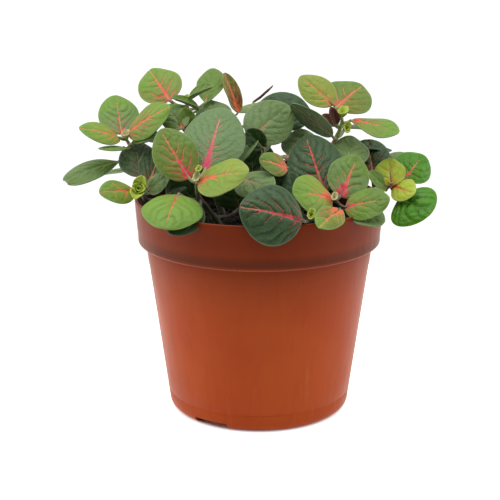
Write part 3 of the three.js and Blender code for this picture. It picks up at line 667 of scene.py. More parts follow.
# %% [markdown]
# ## The large leaves
# A crown is the growing end of a stem. Each row of the list names a leaf's crown and says how far
# its foot is from the crown, how far its tip is from its foot, its width, the way its top faces,
# how it arches and droops, and its kind. Distances are in mm to the right, back and up. They are
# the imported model's own, so each blade fills its solid and hides it.

# %% Crowns
CROWNS = {
    "left": ("left", (-64, 4, 132)),
    "low_left": ("left", (-56, -18, 112)),
    "upper_left": ("upper_left", (-35, 12, 148)),
    "front_left": ("front_left", (-29, -36, 121)),
    "middle": ("middle", (2, 0, 134)),
    "low_middle": ("middle", (6, -23, 120)),
    "upper_right": ("upper_right", (40, 6, 141)),
    "front_right": ("front_right", (34, -35, 112)),
    "rim": ("front_right", (24, -48, 106)),
    "far_right": ("far_right", (63, -4, 111)),
    "back_left": ("back", (-34, 36, 124)),
    "back_middle": ("back", (-2, 42, 130)),
    "back_right": ("back", (30, 36, 119)),
}
WIDEST_AT = 0.47
WIDEST_ELSEWHERE = {
    "far_left": 0.62,
    "upper_right_3": 0.65,
    "upper_left_2": 0.58,
    "low_left_4": 0.38,
}


def grown(row, widest=WIDEST_AT):
    """A leaf's shape from its row: foot, tip, width, facing, arch, cup and where it is widest."""
    crown, to_foot, to_tip, *rest = row
    foot = Vector(CROWNS[crown][1]) + Vector(to_foot)
    return (foot, foot + Vector(to_tip), *rest, widest)


print(len(CROWNS), "crowns")

# %% List of large leaves
LEAVES = {
    "left_1": ("left", (-2, 2, 2), (-5, 19, 16), 20, (0.1, -0.8, 0.55), 20, -15, "green_pink"),
    "left_2": ("left", (1, -1, 3), (21, -8, 14), 20, (-0.25, -0.6, 0.75), 25, -20, "olive_coral"),
    "left_3": ("left", (-3, -1, 1), (-18, -10, 6), 17, (-0.1, -0.5, 0.86), 25, -15, "amber_coral"),
    "far_left": ("left", (-3, -3, -10), (-26, -10, -8), 17, (-0.1, -0.4, 0.9), 25, -15, "plain_old"),
    "low_left_1": ("low_left", (-3, 1, -1), (-15, -11, 2), 14, (-0.1, -0.75, 0.65), 25, -15, "fresh_orange"),
    "low_left_2": ("low_left", (0, 4, 6), (-4, 22, 12), 19, (0, -0.8, 0.6), 15, -15, "dark_red"),
    "low_left_3": ("low_left", (4, 0, 2), (5, 20, 15), 16, (0.2, -0.75, 0.6), 15, -10, "deep_coral"),
    "low_left_4": ("low_left", (4, -5, 1), (11, -6, 9), 9, (-0.2, -0.85, 0.45), 15, -15, "grey_plain"),
    "upper_left_1":
        ("upper_left", (-8, -3, 2), (-11, 19, 12), 22, (-0.1, -0.75, 0.65), 15, -15, "olive_coral"),
    "upper_left_2": ("upper_left", (9, 4, 0), (4, 18, 14), 14, (-0.15, -0.85, 0.45), 10, -15, "plain_green"),
    "upper_left_3": ("upper_left", (25, 10, -6), (-7, 4, 19), 9, (0.5, -0.8, 0.2), 10, 30, "maroon"),
    "upper_left_4":
        ("upper_left", (-1, -18, -9), (-9, 15, 9), 14, (-0.2, -0.75, 0.6), 15, -15, "plain_coral"),
    "upper_left_5": ("upper_left", (14, -9, -10), (-2, 19, 10), 18, (0, -0.8, 0.6), 15, -15, "grey_plain"),
    "front_left_1": ("front_left", (4, 6, 3), (8, 30, 24), 30, (0, -0.85, 0.5), 25, -20, "grey_pink"),
    "front_left_2": ("front_left", (-3, 2, 0), (-14, 14, 20), 21, (-0.25, -0.7, 0.65), 25, -15, "olive_pink"),
    "front_left_3": ("front_left", (1, -1, -1), (23, -11, 7), 23, (0.1, -0.6, 0.8), 25, -15, "lime_coral"),
    "front_left_4":
        ("front_left", (-8, 1, -7), (-5, -26, -10), 29, (0, -0.5, 0.85), 40, -25, "bright_orange"),
    "front_left_5": ("front_left", (2, -6, -11), (-13, -16, -9), 16, (0, -0.6, 0.8), 20, -20, "deep_plain"),
    "middle_1": ("middle", (-6, -6, 0), (18, 15, 14), 24, (0.1, -0.8, 0.6), 20, -15, "grey_salmon"),
    "middle_2": ("middle", (9, 5, 2), (1, 25, 15), 29, (0, -0.8, 0.6), 15, -15, "dark_plain"),
    "middle_3": ("low_middle", (7, -1, 4), (-13, -6, 5), 13, (-0.1, -0.7, 0.7), 15, -15, "lime_blush"),
    "middle_4": ("low_middle", (-16, -4, 0), (16, -13, -3), 19, (0, -0.6, 0.8), 15, -15, "grey_red"),
    "upper_right_1":
        ("upper_right", (-3, 1, 6), (14, 17, 8), 24, (-0.15, -0.85, 0.5), 20, -15, "blush_green"),
    "upper_right_2":
        ("upper_right", (-4, 3, 7), (-16, 11, 12), 16, (-0.2, -0.6, 0.75), 15, -15, "cream_vein"),
    "upper_right_3":
        ("upper_right", (4, -1, 0), (22, -11, -4), 16, (0.1, -0.45, 0.88), 20, -15, "blush_lime"),
    "upper_right_4":
        ("upper_right", (-5, -4, -7), (-20, 2, 15), 15, (0.35, 0.65, 0.6), 20, -15, "grey_plain"),
    "front_right_1": ("front_right", (-4, 7, 1), (-8, 26, 22), 27, (-0.1, -0.85, 0.5), 25, -20, "dark_coral"),
    "front_right_2": ("front_right", (3, 3, 0), (9, 16, 16), 20, (0.15, -0.85, 0.5), 20, -15, "splash_green"),
    "front_right_3":
        ("front_right", (-1, 1, 0), (-18, -12, 5), 23, (-0.1, -0.75, 0.65), 20, -15, "light_coral"),
    "front_right_4":
        ("front_right", (5, -1, -4), (20, -6, 5), 18, (0.15, -0.65, 0.75), 20, -15, "green_blush"),
    "front_right_5": ("front_right", (2, -12, -2), (-10, -15, -5), 13, (0, -0.7, 0.7), 20, -15, "bronze"),
    "front_right_6":
        ("front_right", (10, 3, -5), (11, -14, -5), 16, (0.25, -0.6, 0.75), 20, -15, "plain_old"),
    "front_right_7": ("front_right", (-15, 30, 13), (2, 19, 10), 19, (-0.1, -0.8, 0.6), 15, -15, "grey_red"),
    "front_right_8": ("front_right", (8, 25, 10), (2, 22, 10), 20, (0, -0.8, 0.6), 15, -15, "grey_plain"),
    "rim_front": ("rim", (-5, -9, 1), (-28, -3, 7), 30, (0, -0.85, 0.5), 25, -35, "dark_crimson"),
    "far_right_1": ("far_right", (0, -4, 1), (-1, 6, 12), 15, (0, -0.8, 0.5), 15, -15, "bud_lime"),
    "far_right_2": ("far_right", (1, -2, 0), (9, -11, -1), 13, (0.1, -0.9, 0.45), 15, -15, "bud_lime"),
    "far_right_3": ("far_right", (-9, 0, 7), (-1, 20, 12), 20, (0, -0.8, 0.6), 15, -15, "dark_coral"),
    "far_right_4": ("far_right", (7, 6, 2), (11, 14, 9), 19, (0.2, -0.75, 0.65), 15, -15, "glossy_coral"),
    "far_right_5": ("far_right", (4, -4, -5), (13, -14, -5), 27, (0.15, -0.85, 0.5), 30, -20, "glossy_green"),
    "back_1": ("back_left", (-4, 2, 1), (-20, 14, -3), 25, (-0.4, 0.5, 0.8), 25, -15, "green_pink"),
    "back_2": ("back_left", (4, 2, 3), (12, 24, 1), 26, (-0.1, 0.5, 0.85), 25, -15, "dark_coral"),
    "back_3": ("back_middle", (2, 4, 2), (4, 28, -7), 27, (0, 0.7, 0.7), 30, -15, "grey_pink"),
    "back_4": ("back_right", (2, 2, 3), (14, 22, -6), 26, (0.4, 0.6, 0.75), 25, -15, "dark_coral"),
    "back_5": ("back_right", (16, -10, 0), (24, 8, -7), 22, (0.4, 0.2, 0.85), 25, -15, "green_blush"),
    "back_6": ("back_left", (-24, -6, -11), (-26, 8, -7), 23, (-0.5, 0.3, 0.8), 25, -15, "plain_coral"),
    "back_7": ("back_left", (8, 26, -15), (-10, 20, -12), 23, (-0.2, 0.8, 0.6), 25, -15, "bright_orange"),
    "back_8": ("back_right", (-8, 26, -11), (12, 18, -12), 23, (0.2, 0.8, 0.6), 25, -15, "glossy_coral"),
    "back_9": ("back_middle", (0, -16, 11), (2, 22, 1), 23, (0, 0.3, 0.95), 25, -15, "splash_green"),
    "back_10": ("far_right", (-2, 12, 2), (14, 18, -7), 18, (0.4, 0.2, 0.9), 25, -15, "dark_coral"),
}
print(len(LEAVES), "large leaves")

# %% Make the large leaves
# How far the tip is notched, as a share of the leaf's length.
BITTEN = {"far_left": 0.06}
shapes_on = {shoot: [] for shoot, _ in CROWNS.values()}
for key, (*row, kind) in LEAVES.items():
    name = "leaf_" + key
    shape = grown(row, WIDEST_ELSEWHERE.get(key, WIDEST_AT))
    shapes_on[CROWNS[row[0]][0]].append(shape)
    leaf = make_leaf(name + "_blade", shape, kind, bite=BITTEN.get(key, 0.0))
    belongs(leaf, slot_of[name], name)
print("faces in one leaf", len(leaf.data.polygons))

# %% [markdown]
# ## The small and inner leaves
# Between the large leaves sit young ones, still folded, and shaded ones that close the gaps. In
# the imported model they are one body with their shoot. Here each is a leaf of its own.

# %% List of small leaves
SMALL_LEAVES = [
    ("upper_left", (1, 0, 2), (12, -6, 7), 10, (0.1, -0.4, 0.9), 15, 60, "plain_green"),
    ("upper_left", (2, -14, -12), (-3, 2, 12), 10, (0.1, -0.8, 0.5), 15, 50, "plain_green"),
    ("upper_left", (6, -4, -2), (-13, -4, 6), 8, (0, -0.3, 0.95), 15, 60, "plain_green"),
    ("upper_left", (0, 8, -9), (1, 24, -4), 22, (0, 0.5, 0.85), 25, -15, "plain_coral"),
    ("upper_left", (-3, 2, -16), (-21, 8, -5), 19, (-0.3, 0.2, 0.9), 25, -15, "dark_coral"),
    ("upper_left", (18, 6, -38), (-8, 6, 17), 21, (-0.1, -0.9, 0.3), 20, -15, "deep_plain"),
    ("left", (-1, -4, -3), (-10, -11, 1), 12, (0, -0.05, 1), 10, -10, "plain_green"),
    ("left", (4, -4, 0), (12, -7, 5), 8, (0, -0.5, 0.8), 10, -10, "plain_green"),
    ("left", (4, 8, -8), (0, 21, -6), 18, (-0.1, 0.4, 0.9), 25, -15, "green_pink"),
    ("low_left", (9, -5, 2), (3, 4, 10), 7, (0, -0.8, 0.6), 10, -10, "plain_green"),
    ("low_left", (13, -4, -1), (9, -6, 4), 8, (0.1, -0.3, 0.9), 10, -10, "deep_plain"),
    ("low_left", (25, 14, -9), (-11, 4, 13), 19, (-0.1, -0.9, 0.35), 20, -15, "deep_plain"),
    ("front_left", (20, 24, -19), (-7, 6, 17), 21, (0, -0.9, 0.3), 20, -15, "deep_plain"),
    ("middle", (-3, -7, 0), (-8, -7, -10), 9, (-0.75, -0.4, 0.5), 15, 10, "grey_plain"),
    ("middle", (0, -8, -4), (-8, -1, 9), 10, (0, -0.9, 0.4), 15, 20, "deep_plain"),
    ("middle", (4, 8, -4), (16, 22, 0), 21, (0.1, 0.3, 0.95), 25, -15, "dark_plain"),
    ("middle", (7, 2, -30), (-1, 6, 18), 22, (0, -0.9, 0.3), 20, -15, "deep_plain"),
    ("middle", (-5, 20, 13), (10, 4, 8), 5, (0.6, -0.3, -0.7), 15, -10, "heart_maroon"),
    ("upper_right", (-3, -2, -2), (-3, -2, 9), 6, (0.2, -0.9, 0.2), 10, 60, "heart_maroon"),
    ("upper_right", (-4, -2, -2), (-6, -1, 5), 6, (0, -0.6, 0.8), 10, 40, "heart_maroon"),
    ("upper_right", (2, 8, -5), (8, 22, -4), 21, (0.2, 0.5, 0.85), 25, -15, "plain_coral"),
    ("upper_right", (4, 5, -13), (21, 6, -4), 17, (0.3, 0.1, 0.95), 25, -15, "dark_plain"),
    ("upper_right", (-10, 4, -37), (9, 5, 17), 21, (0.1, -0.9, 0.3), 20, -15, "deep_plain"),
    ("front_right", (-17, -2, -4), (-3, 12, 14), 12, (-0.6, -0.7, 0.35), 10, 10, "dark_plain"),
    ("far_right", (-2, -4, -1), (-9, -1, 9), 8, (-0.6, -0.2, 0.75), 10, 10, "plain_green"),
    ("far_right", (6, 11, 4), (2, 17, 7), 16, (0.1, -0.7, 0.7), 15, -15, "grey_plain"),
    ("back_left", (20, 2, -8), (0, 22, -2), 21, (0, 0.5, 0.85), 25, -15, "plain_coral"),
    ("back_left", (-10, 8, -12), (-18, 14, -5), 19, (-0.4, 0.5, 0.8), 25, -15, "olive_coral"),
    ("back_middle", (16, 4, -16), (6, 20, -3), 21, (0.1, 0.5, 0.85), 25, -15, "green_pink"),
    ("back_middle", (-2, 20, -22), (1, 21, -11), 21, (0, 0.8, 0.6), 25, -15, "splash_green"),
    ("back_middle", (-1, -14, -22), (-1, 6, 19), 24, (0, -0.9, 0.3), 20, -15, "deep_plain"),
    ("back_right", (16, 14, -11), (14, 16, -8), 19, (0.5, 0.6, 0.7), 25, -15, "fresh_orange"),
]
print(len(SMALL_LEAVES), "small leaves")

# %% Make the small leaves
for number, (*row, kind) in enumerate(SMALL_LEAVES, 1):
    shape = grown(row)
    shoot = CROWNS[row[0]][0]
    shapes_on[shoot].append(shape)
    cells = (38, 28) if shape[2] > 12 else (26, 18)
    name = f"small_leaf_{number}_{row[0]}"
    leaf = make_leaf(name, shape, kind, cells=cells, wave=0.014 * shape[2])
    belongs(leaf, "leaf_mid", "stem_" + shoot)
print("faces in one small leaf", len(leaf.data.polygons))

# %% [markdown]
# ## Stems and stalks
# The shoots are soft green stems, swollen where a pair of stalks leaves them, and turning woody
# and brown towards the soil. A curve with a round section is the quick way to draw them: each
# point has a radius, so the stem can swell and taper. It becomes a mesh at the end. A stalk
# doesn't stop at the blade but runs on below it as the midrib's ridge.

# %% Shoots
SHOOTS = {
    "left": [
        [(-30, 2, 94.5), (-38, 3, 104), (-50, 4, 118), (-60, 5, 126), CROWNS["left"][1]],
        [(-38, 3, 104), (-46, -8, 104), (-53, -15, 106.5), CROWNS["low_left"][1]],
    ],
    "upper_left": [
        [(-18, 8, 94.5), (-23, 9, 108), (-29, 10, 126), (-33, 11, 140), CROWNS["upper_left"][1]],
    ],
    "front_left": [
        [(-18, -18, 94.5), (-23, -24, 103), (-28, -31, 112), CROWNS["front_left"][1]],
    ],
    "middle": [
        [(0, 4, 94.5), (1, 3, 108), (2, 1, 122), CROWNS["middle"][1]],
        [(1, 3, 100), (2, -10, 107), (4, -19, 113), CROWNS["low_middle"][1]],
    ],
    "upper_right": [
        [(20, 8, 94.5), (26, 8, 108), (33, 7, 124), (38, 6, 134), CROWNS["upper_right"][1]],
    ],
    "front_right": [
        [(18, -18, 94.5), (23, -23, 100), (29, -30, 105), CROWNS["front_right"][1]],
        [(23, -23, 100), (24, -36, 102), CROWNS["rim"][1]],
    ],
    "far_right": [
        [(34, 0, 94.5), (42, -1, 99), (52, -2, 106), (60, -3, 109), CROWNS["far_right"][1]],
    ],
    "back": [
        [(-10, 26, 94.5), (-20, 34, 104), (-30, 36, 114), CROWNS["back_left"][1]],
        [(-10, 26, 94.5), (-4, 38, 104), (-2, 44, 118), CROWNS["back_middle"][1]],
        [(-4, 38, 104), (14, 40, 105), (26, 38, 112), CROWNS["back_right"][1]],
    ],
}
STEM_RADIUS = 1.45
STALK_RADIUS = 0.75
SOIL_LEVEL = 91


def smooth_path(points, steps):
    """Points along a curve that passes through the given ones."""
    places = [Vector(p) for p in points]
    ends = [2 * places[0] - places[1]] + places + [2 * places[-1] - places[-2]]
    found = []
    for i in range(steps + 1):
        u = i / steps * (len(places) - 1)
        k = min(int(u), len(places) - 2)
        f = u - k
        a, b, c, d = ends[k:k + 4]
        found.append(0.5 * (2 * b + (c - a) * f + (2 * a - 5 * b + 4 * c - d) * f * f
                            + (3 * b - a - 3 * c + d) * f ** 3))
    return found


def nearest_on_shoot(shoot, point):
    """Where a stalk that ends at the point leaves its shoot: near, and somewhat lower."""
    best, place = 1e9, None
    for path in SHOOTS[shoot]:
        for p in smooth_path(path, 20)[4:]:
            flat = math.hypot(point[0] - p.x, point[1] - p.y)
            cost = flat + abs(point[2] - p.z - 0.35 * flat)
            if cost < best:
                best, place = cost, p
    return place


print(sum(len(paths) for paths in SHOOTS.values()), "stems")


# %% Curve to tube
def add_strand(curve, points, radii):
    spline = curve.splines.new("POLY")
    spline.points.add(len(points) - 1)
    for target, point, radius in zip(spline.points, points, radii):
        target.co = (*(point * MM), 1)
        target.radius = radius * MM


def stem_strands(curve, shoot):
    routes = []
    for n, path in enumerate(SHOOTS[shoot]):
        points = smooth_path(path, 28)
        if n == 0 or shoot == "back" and n < 2:
            points.insert(0, points[0] - Vector((0, 0, 5)))
        radii = []
        for i, _ in enumerate(points):
            u = i / (len(points) - 1)
            joint = max(math.exp(-((u * 4 - k) / 0.13) ** 2) for k in (1, 2, 3))
            radii.append(STEM_RADIUS * (1.15 - 0.6 * u) * (1 + 0.22 * joint))
        add_strand(curve, points, radii)
        routes.append((points, radii))
    return routes


def stalk_strand(curve, shoot, shape):
    """A leaf's stalk, from the stem to the blade and on below it as a thin ridge."""
    foot = Vector(shape[0])
    start = nearest_on_shoot(shoot, shape[0])
    middle = start.lerp(foot, 0.55)
    middle.z -= 0.12 * (start - foot).length
    stalk = smooth_path([start, middle, foot], 10)
    shares = np.linspace(0.06, 0.86, 12)
    ridge_depth = -BLADE_THICKNESS / 2 - 0.30
    ridge = leaf_points(shape, shares, np.zeros(12), ridge_depth)
    thick = STALK_RADIUS * min(1.15, 0.55 + shape[2] / 35)
    points = stalk + [Vector(p) for p in ridge]
    radii = [thick * (1.1 - 0.02 * i) for i in range(11)]
    radii += [thick * (0.75 - 0.6 * u) for u in shares]
    add_strand(curve, points, radii)
    return points, radii


print("stems are", 2 * STEM_RADIUS, "mm thick")

# %% [markdown]
# ## Stem finish
# Young stems are pale green with a pink flush and fine hairs. Lower down they brown. The height
# above the soil decides the mix, broken up by noise so that it has no straight border.

# %% Stem finish
stem_finish, stem_tree, stem_shader = new_finish("stem_green")
stem_place = object_place(stem_tree, (1, 1, 0.35))
stem_noise = texture(stem_tree, "ShaderNodeTexNoise", stem_place, 500.0, detail=3.0)
stem_spots = texture(stem_tree, "ShaderNodeTexNoise", object_place(stem_tree), 90.0, detail=2.0)
stem_height = calc(stem_tree, "ADD", height_of(stem_tree, object_place(stem_tree)),
                   calc(stem_tree, "MULTIPLY", stem_spots.outputs["Fac"], 0.02))
stem_low = step(stem_tree, stem_height, 0.118, 0.136, 1, 0)
stem_flush = step(stem_tree, stem_spots.outputs["Fac"], 0.45, 0.65)
stem_colour = tint(stem_tree, stem_flush, colour("9aa866"), "b08a66")
stem_colour = tint(stem_tree, calc(stem_tree, "MULTIPLY", stem_low, 0.85), stem_colour, "2c2519")
stem_pale = step(stem_tree, stem_noise.outputs["Fac"], 0.4, 0.7, 0, 0.2)
stem_colour = tint(stem_tree, stem_pale, stem_colour, "c8c49a")
stem_tree.links.new(stem_colour, stem_shader.inputs["Base Color"])
stem_shader.inputs["Roughness"].default_value = 0.55
stem_shader.inputs["Sheen Weight"].default_value = 0.3
add_bump(stem_tree, stem_shader, calc(stem_tree, "MULTIPLY", stem_noise.outputs["Fac"], 0.25))
print("stem finish", len(stem_tree.nodes), "nodes")

# %% Make the stems
HAIR_LENGTH = 0.9
HAIR_WIDTH = 0.07
HAIR_GAP = 1.1
hair_chance = random.Random(7)


def hairs_on(routes, gap):
    """Fine hairs, each a thin closed spike, along tubes. Returns points and faces."""
    points, faces = [], []
    for path, radii in routes:
        for (p, q), radius in zip(zip(path, path[1:]), radii):
            along = (q - p).normalized()
            across = along.orthogonal().normalized()
            for _ in range(int((q - p).length / gap)):
                turn = hair_chance.uniform(0, 2 * math.pi)
                out = math.cos(turn) * across + math.sin(turn) * along.cross(across)
                lean = (out + along * hair_chance.uniform(-0.4, 0.6)).normalized()
                root = p.lerp(q, hair_chance.random()) + out * (radius * 0.85)
                tip = root + lean * HAIR_LENGTH * hair_chance.uniform(0.6, 1.2)
                wide = lean.orthogonal().normalized() * HAIR_WIDTH
                deep = lean.cross(wide)
                first = len(points)
                points += [root + wide, root - 0.5 * wide + 0.87 * deep]
                points += [root - 0.5 * wide - 0.87 * deep, tip]
                faces += [(first, first + 1, first + 3), (first + 1, first + 2, first + 3)]
                faces += [(first + 2, first, first + 3), (first, first + 2, first + 1)]
    return points, faces


for shoot in SHOOTS:
    curve = bpy.data.curves.new("stem_" + shoot, "CURVE")
    curve.dimensions = "3D"
    curve.bevel_depth = 1.0
    curve.bevel_resolution = 2
    curve.use_fill_caps = True
    routes = stem_strands(curve, shoot)
    routes += [stalk_strand(curve, shoot, shape) for shape in shapes_on[shoot]]
    stem = new_piece("shoot_" + shoot, curve)
    select_only(stem)
    bpy.ops.object.convert(target="MESH")
    stem = bpy.context.object
    bpy.ops.object.shade_smooth()
    stem.data.materials.clear()
    stem.data.materials.append(stem_finish)
    belongs(stem, "stem", "stem_" + shoot)
    spikes, spike_faces = hairs_on(routes, HAIR_GAP)
    fuzz = bpy.data.meshes.new("hairs_" + shoot)
    fuzz.from_pydata([p * MM for p in spikes], [], spike_faces)
    hairs = new_piece("hairs_" + shoot, fuzz)
    fuzz.materials.append(stem_finish)
    belongs(hairs, "stem", "stem_" + shoot)
print("last shoot", len(stem.data.polygons), "faces and", len(spikes) // 4, "hairs")

# %% [markdown]
# ## Buds
# A shoot ends in a heart of folded leaves, each pair turned a quarter from the one below and much
# smaller. So a bud is the leaf maker again, with tiny leaves that cup inwards round a centre.

# %% Buds
# crown, centre from the crown in mm, axis, size in mm, kind, pairs
BUDS = [
    ("left", (0, -1, 1), (-0.05, -0.35, 0.9), 5.5, "heart_cream", 2),
    ("low_left", (0, -5, 1), (0, -0.85, 0.5), 9.5, "heart_lime", 4),
    ("front_left", (0, -1, 0), (0.1, -0.6, 0.8), 4.5, "heart_cream", 3),
    ("front_left", (1, 0, 4), (0.2, -0.5, 0.85), 3.5, "heart_lime", 2),
    ("upper_left", (0, -1, 1), (0, -0.3, 0.95), 5, "heart_lime", 2),
    ("upper_right", (0, -1, 2), (0, -0.3, 0.95), 7, "heart_lime", 2),
    ("upper_right", (1, -3, -4), (0.4, -0.6, 0.5), 5.5, "heart_lime", 2),
    ("rim", (-1, -2, 1), (0, -0.6, 0.7), 5, "heart_lime", 2),
    ("front_right", (0, -1, 0), (0.1, -0.6, 0.8), 4, "heart_cream", 2),
    ("far_right", (0, -1, 2), (0.1, -0.6, 0.8), 4, "heart_lime", 2),
    ("low_middle", (0, -1, 1), (0, -0.5, 0.85), 4.5, "heart_lime", 2),
    ("back_left", (0, 1, 2), (0, 0.3, 0.95), 5.5, "heart_lime", 2),
    ("back_middle", (0, 1, 2), (0, 0.3, 0.95), 5.5, "heart_lime", 2),
    ("back_right", (0, 1, 2), (0, 0.3, 0.95), 5.5, "heart_lime", 2),
]

for bud, (crown, offset, axis, size, kind, pairs) in enumerate(BUDS, 1):
    shoot, place = CROWNS[crown]
    centre = Vector(place) + Vector(offset)
    axis = Vector(axis).normalized()
    across = axis.orthogonal().normalized()
    number = 0
    for pair in range(pairs):
        for flip in (0, math.pi):
            turn = flip + pair * math.pi / 2 + 0.4
            out = math.cos(turn) * across + math.sin(turn) * axis.cross(across)
            scale = size * (1 - 0.24 * pair)
            open_out = 0.62 - 0.2 * pair
            foot = centre + out * (0.06 * scale)
            tip = foot + (axis * (0.55 + 0.1 * pair) + out * open_out) * scale * 0.9
            faces = axis * open_out - out * 0.8
            number += 1
            shape = (foot, tip, scale * 0.82, faces, 35, 55, WIDEST_AT)
            petal = make_leaf(f"bud_{bud}_{number}", shape, kind, cells=(16, 12), wave=0.06)
            petal.data.materials[1] = leaf_finishes[kind]
            belongs(petal, "leaf_bud", "stem_" + shoot)
print(len(BUDS), "buds")

# %% [markdown]
# ## The pot
# A grower's pot is moulded in one piece: a tapered body, a stepped band below the rim and a flat
# base with raised channels that let water out. Turning an outline gives the round part: a ring
# is extruded along the outline, step by step. Boxes then cut the channels.

# %% Turned shapes
POT_SEGMENTS = 160


def turned(name, outline, segments=POT_SEGMENTS):
    """Extrudes a ring of edges along an outline of radii and heights, and closes both ends."""
    radius, height = outline[0]
    bpy.ops.mesh.primitive_circle_add(
        vertices=segments, radius=radius * MM, fill_type="NGON", location=(0, 0, height * MM))
    piece = bpy.context.object
    piece.name = name
    bpy.ops.object.transform_apply(location=True)
    bpy.ops.object.mode_set(mode="EDIT")
    bpy.ops.mesh.select_all(action="SELECT")
    for r, z in outline[1:]:
        bpy.ops.mesh.extrude_edges_move(TRANSFORM_OT_translate={"value": (0, 0, (z - height) * MM)})
        bpy.ops.transform.resize(value=(r / radius, r / radius, 1), center_override=(0, 0, 0))
        radius, height = r, z
    bpy.ops.mesh.edge_face_add()
    bpy.ops.mesh.select_all(action="SELECT")
    bpy.ops.mesh.normals_make_consistent(inside=False)
    bpy.ops.object.mode_set(mode="OBJECT")
    return piece


print("turned with", POT_SEGMENTS, "segments")

# %% Pot outline
BODY_TOP, BODY_LOW = 55, 44.3
BAND_FOOT = 83
CORNER = 4.8
POT_WALL = 1.4
BASE_GROOVE = 9


def arc(centre, radius, start, end, steps):
    """Points of an arc in the outline's plane, angles in degrees from the radius axis."""
    angles = [math.radians(start + (end - start) * i / steps) for i in range(steps + 1)]
    return [(centre[0] + radius * math.cos(a), centre[1] + radius * math.sin(a)) for a in angles]


def body_radius(z):
    return BODY_LOW + (BODY_TOP - BODY_LOW) * (z - CORNER) / (BAND_FOOT - CORNER)


outside = [(2, 0), (20, 0), (36, 0)]
outside += arc((BODY_LOW - CORNER, CORNER), CORNER, -90, 0, 8)
outside += [(body_radius(BASE_GROOVE - 0.4), BASE_GROOVE - 0.4)]
outside += [(body_radius(BASE_GROOVE) - 0.18, BASE_GROOVE)]
outside += [(body_radius(BASE_GROOVE + 0.4), BASE_GROOVE + 0.4)]
outside += [(body_radius(z), z) for z in (20, 35, 50, 65, 78)]
outside += [(54.9, 82.3)]
outside += arc((55.9, 82.35), 1.0, 180, 100, 4)
outside += [(57.2, 83.55)]
outside += arc((57.3, 84.85), 1.3, -75, -5, 5)
outside += [(58.75, 88.5), (59.1, 92), (59.5, 97), (59.8, 101), (59.95, 103.6)]
outside += arc((59.25, 104.3), 0.7, 0, 90, 4)
inside = [(58.9, 105), (58.55, 104.6), (58.4, 102), (57.4, 88), (57.1, 85.6), (53.9, 83.2)]
inside += [(53.5, 82.2), (body_radius(40) - POT_WALL, 40), (43, 6.5), (41.5, 3.2), (39, 1.9)]
inside += [(2, 1.8)]
pot = turned("pot_shell", outside + inside)
print("pot ring count", len(outside) + len(inside))

# %% Drain channels
CHANNEL_DIRECTIONS = (-122.5, -2.5, 117.5)
CHANNEL_WIDTH, CHANNEL_HEIGHT = 18, 3.6
CHANNEL_START, CHANNEL_END = 15, 54
CHANNEL_ROOF, CHANNEL_ROOF_END = 1.5, 52
DRAIN_HOLE_AT, DRAIN_HOLE_RADIUS = 27, 4
BASE_SLICE = 12
filled = turned("pot_filled", [p for p in outside if p[1] < BASE_SLICE] + [(2, BASE_SLICE)])


def channel_box(extra, start, end, low, high, direction):
    bpy.ops.mesh.primitive_cube_add(size=1)
    box = bpy.context.object
    turn = math.radians(direction)
    middle = (start + end) / 2
    box.scale = ((end - start) * MM, (CHANNEL_WIDTH + 2 * extra) * MM, (high - low) * MM)
    box.rotation_euler.z = turn
    box.location = (
        middle * math.cos(turn) * MM, middle * math.sin(turn) * MM, (low + high) / 2 * MM)
    bpy.ops.object.transform_apply(location=True, rotation=True, scale=True)
    return box


def combine(piece, tool, operation, keep_tool=False):
    """Joins, cuts or trims a piece with a tool and applies the result."""
    select_only(piece)
    change = piece.modifiers.new("change", "BOOLEAN")
    change.operation = operation
    change.solver = "EXACT"
    change.object = tool
    bpy.ops.object.modifier_apply(modifier="change")
    if not keep_tool:
        bpy.data.objects.remove(tool)


for direction_angle in CHANNEL_DIRECTIONS:
    roof = channel_box(
        CHANNEL_ROOF, CHANNEL_START - CHANNEL_ROOF, CHANNEL_ROOF_END, 0,
        CHANNEL_HEIGHT + CHANNEL_ROOF, direction_angle)
    combine(roof, filled, "INTERSECT", keep_tool=True)
    combine(pot, roof, "UNION")
for direction_angle in CHANNEL_DIRECTIONS:
    channel = channel_box(0, CHANNEL_START, CHANNEL_END, -2, CHANNEL_HEIGHT, direction_angle)
    combine(pot, channel, "DIFFERENCE")
    turn = math.radians(direction_angle)
    spot = (DRAIN_HOLE_AT * math.cos(turn) * MM, DRAIN_HOLE_AT * math.sin(turn) * MM, 4 * MM)
    bpy.ops.mesh.primitive_cylinder_add(
        vertices=32, radius=DRAIN_HOLE_RADIUS * MM, depth=12 * MM, location=spot)
    drill = bpy.context.object
    bpy.ops.object.transform_apply(location=True)
    combine(pot, drill, "DIFFERENCE")
bpy.data.objects.remove(filled)
select_only(pot)
bpy.ops.object.shade_smooth_by_angle(angle=math.radians(28))
print("pot", len(pot.data.polygons), "faces")
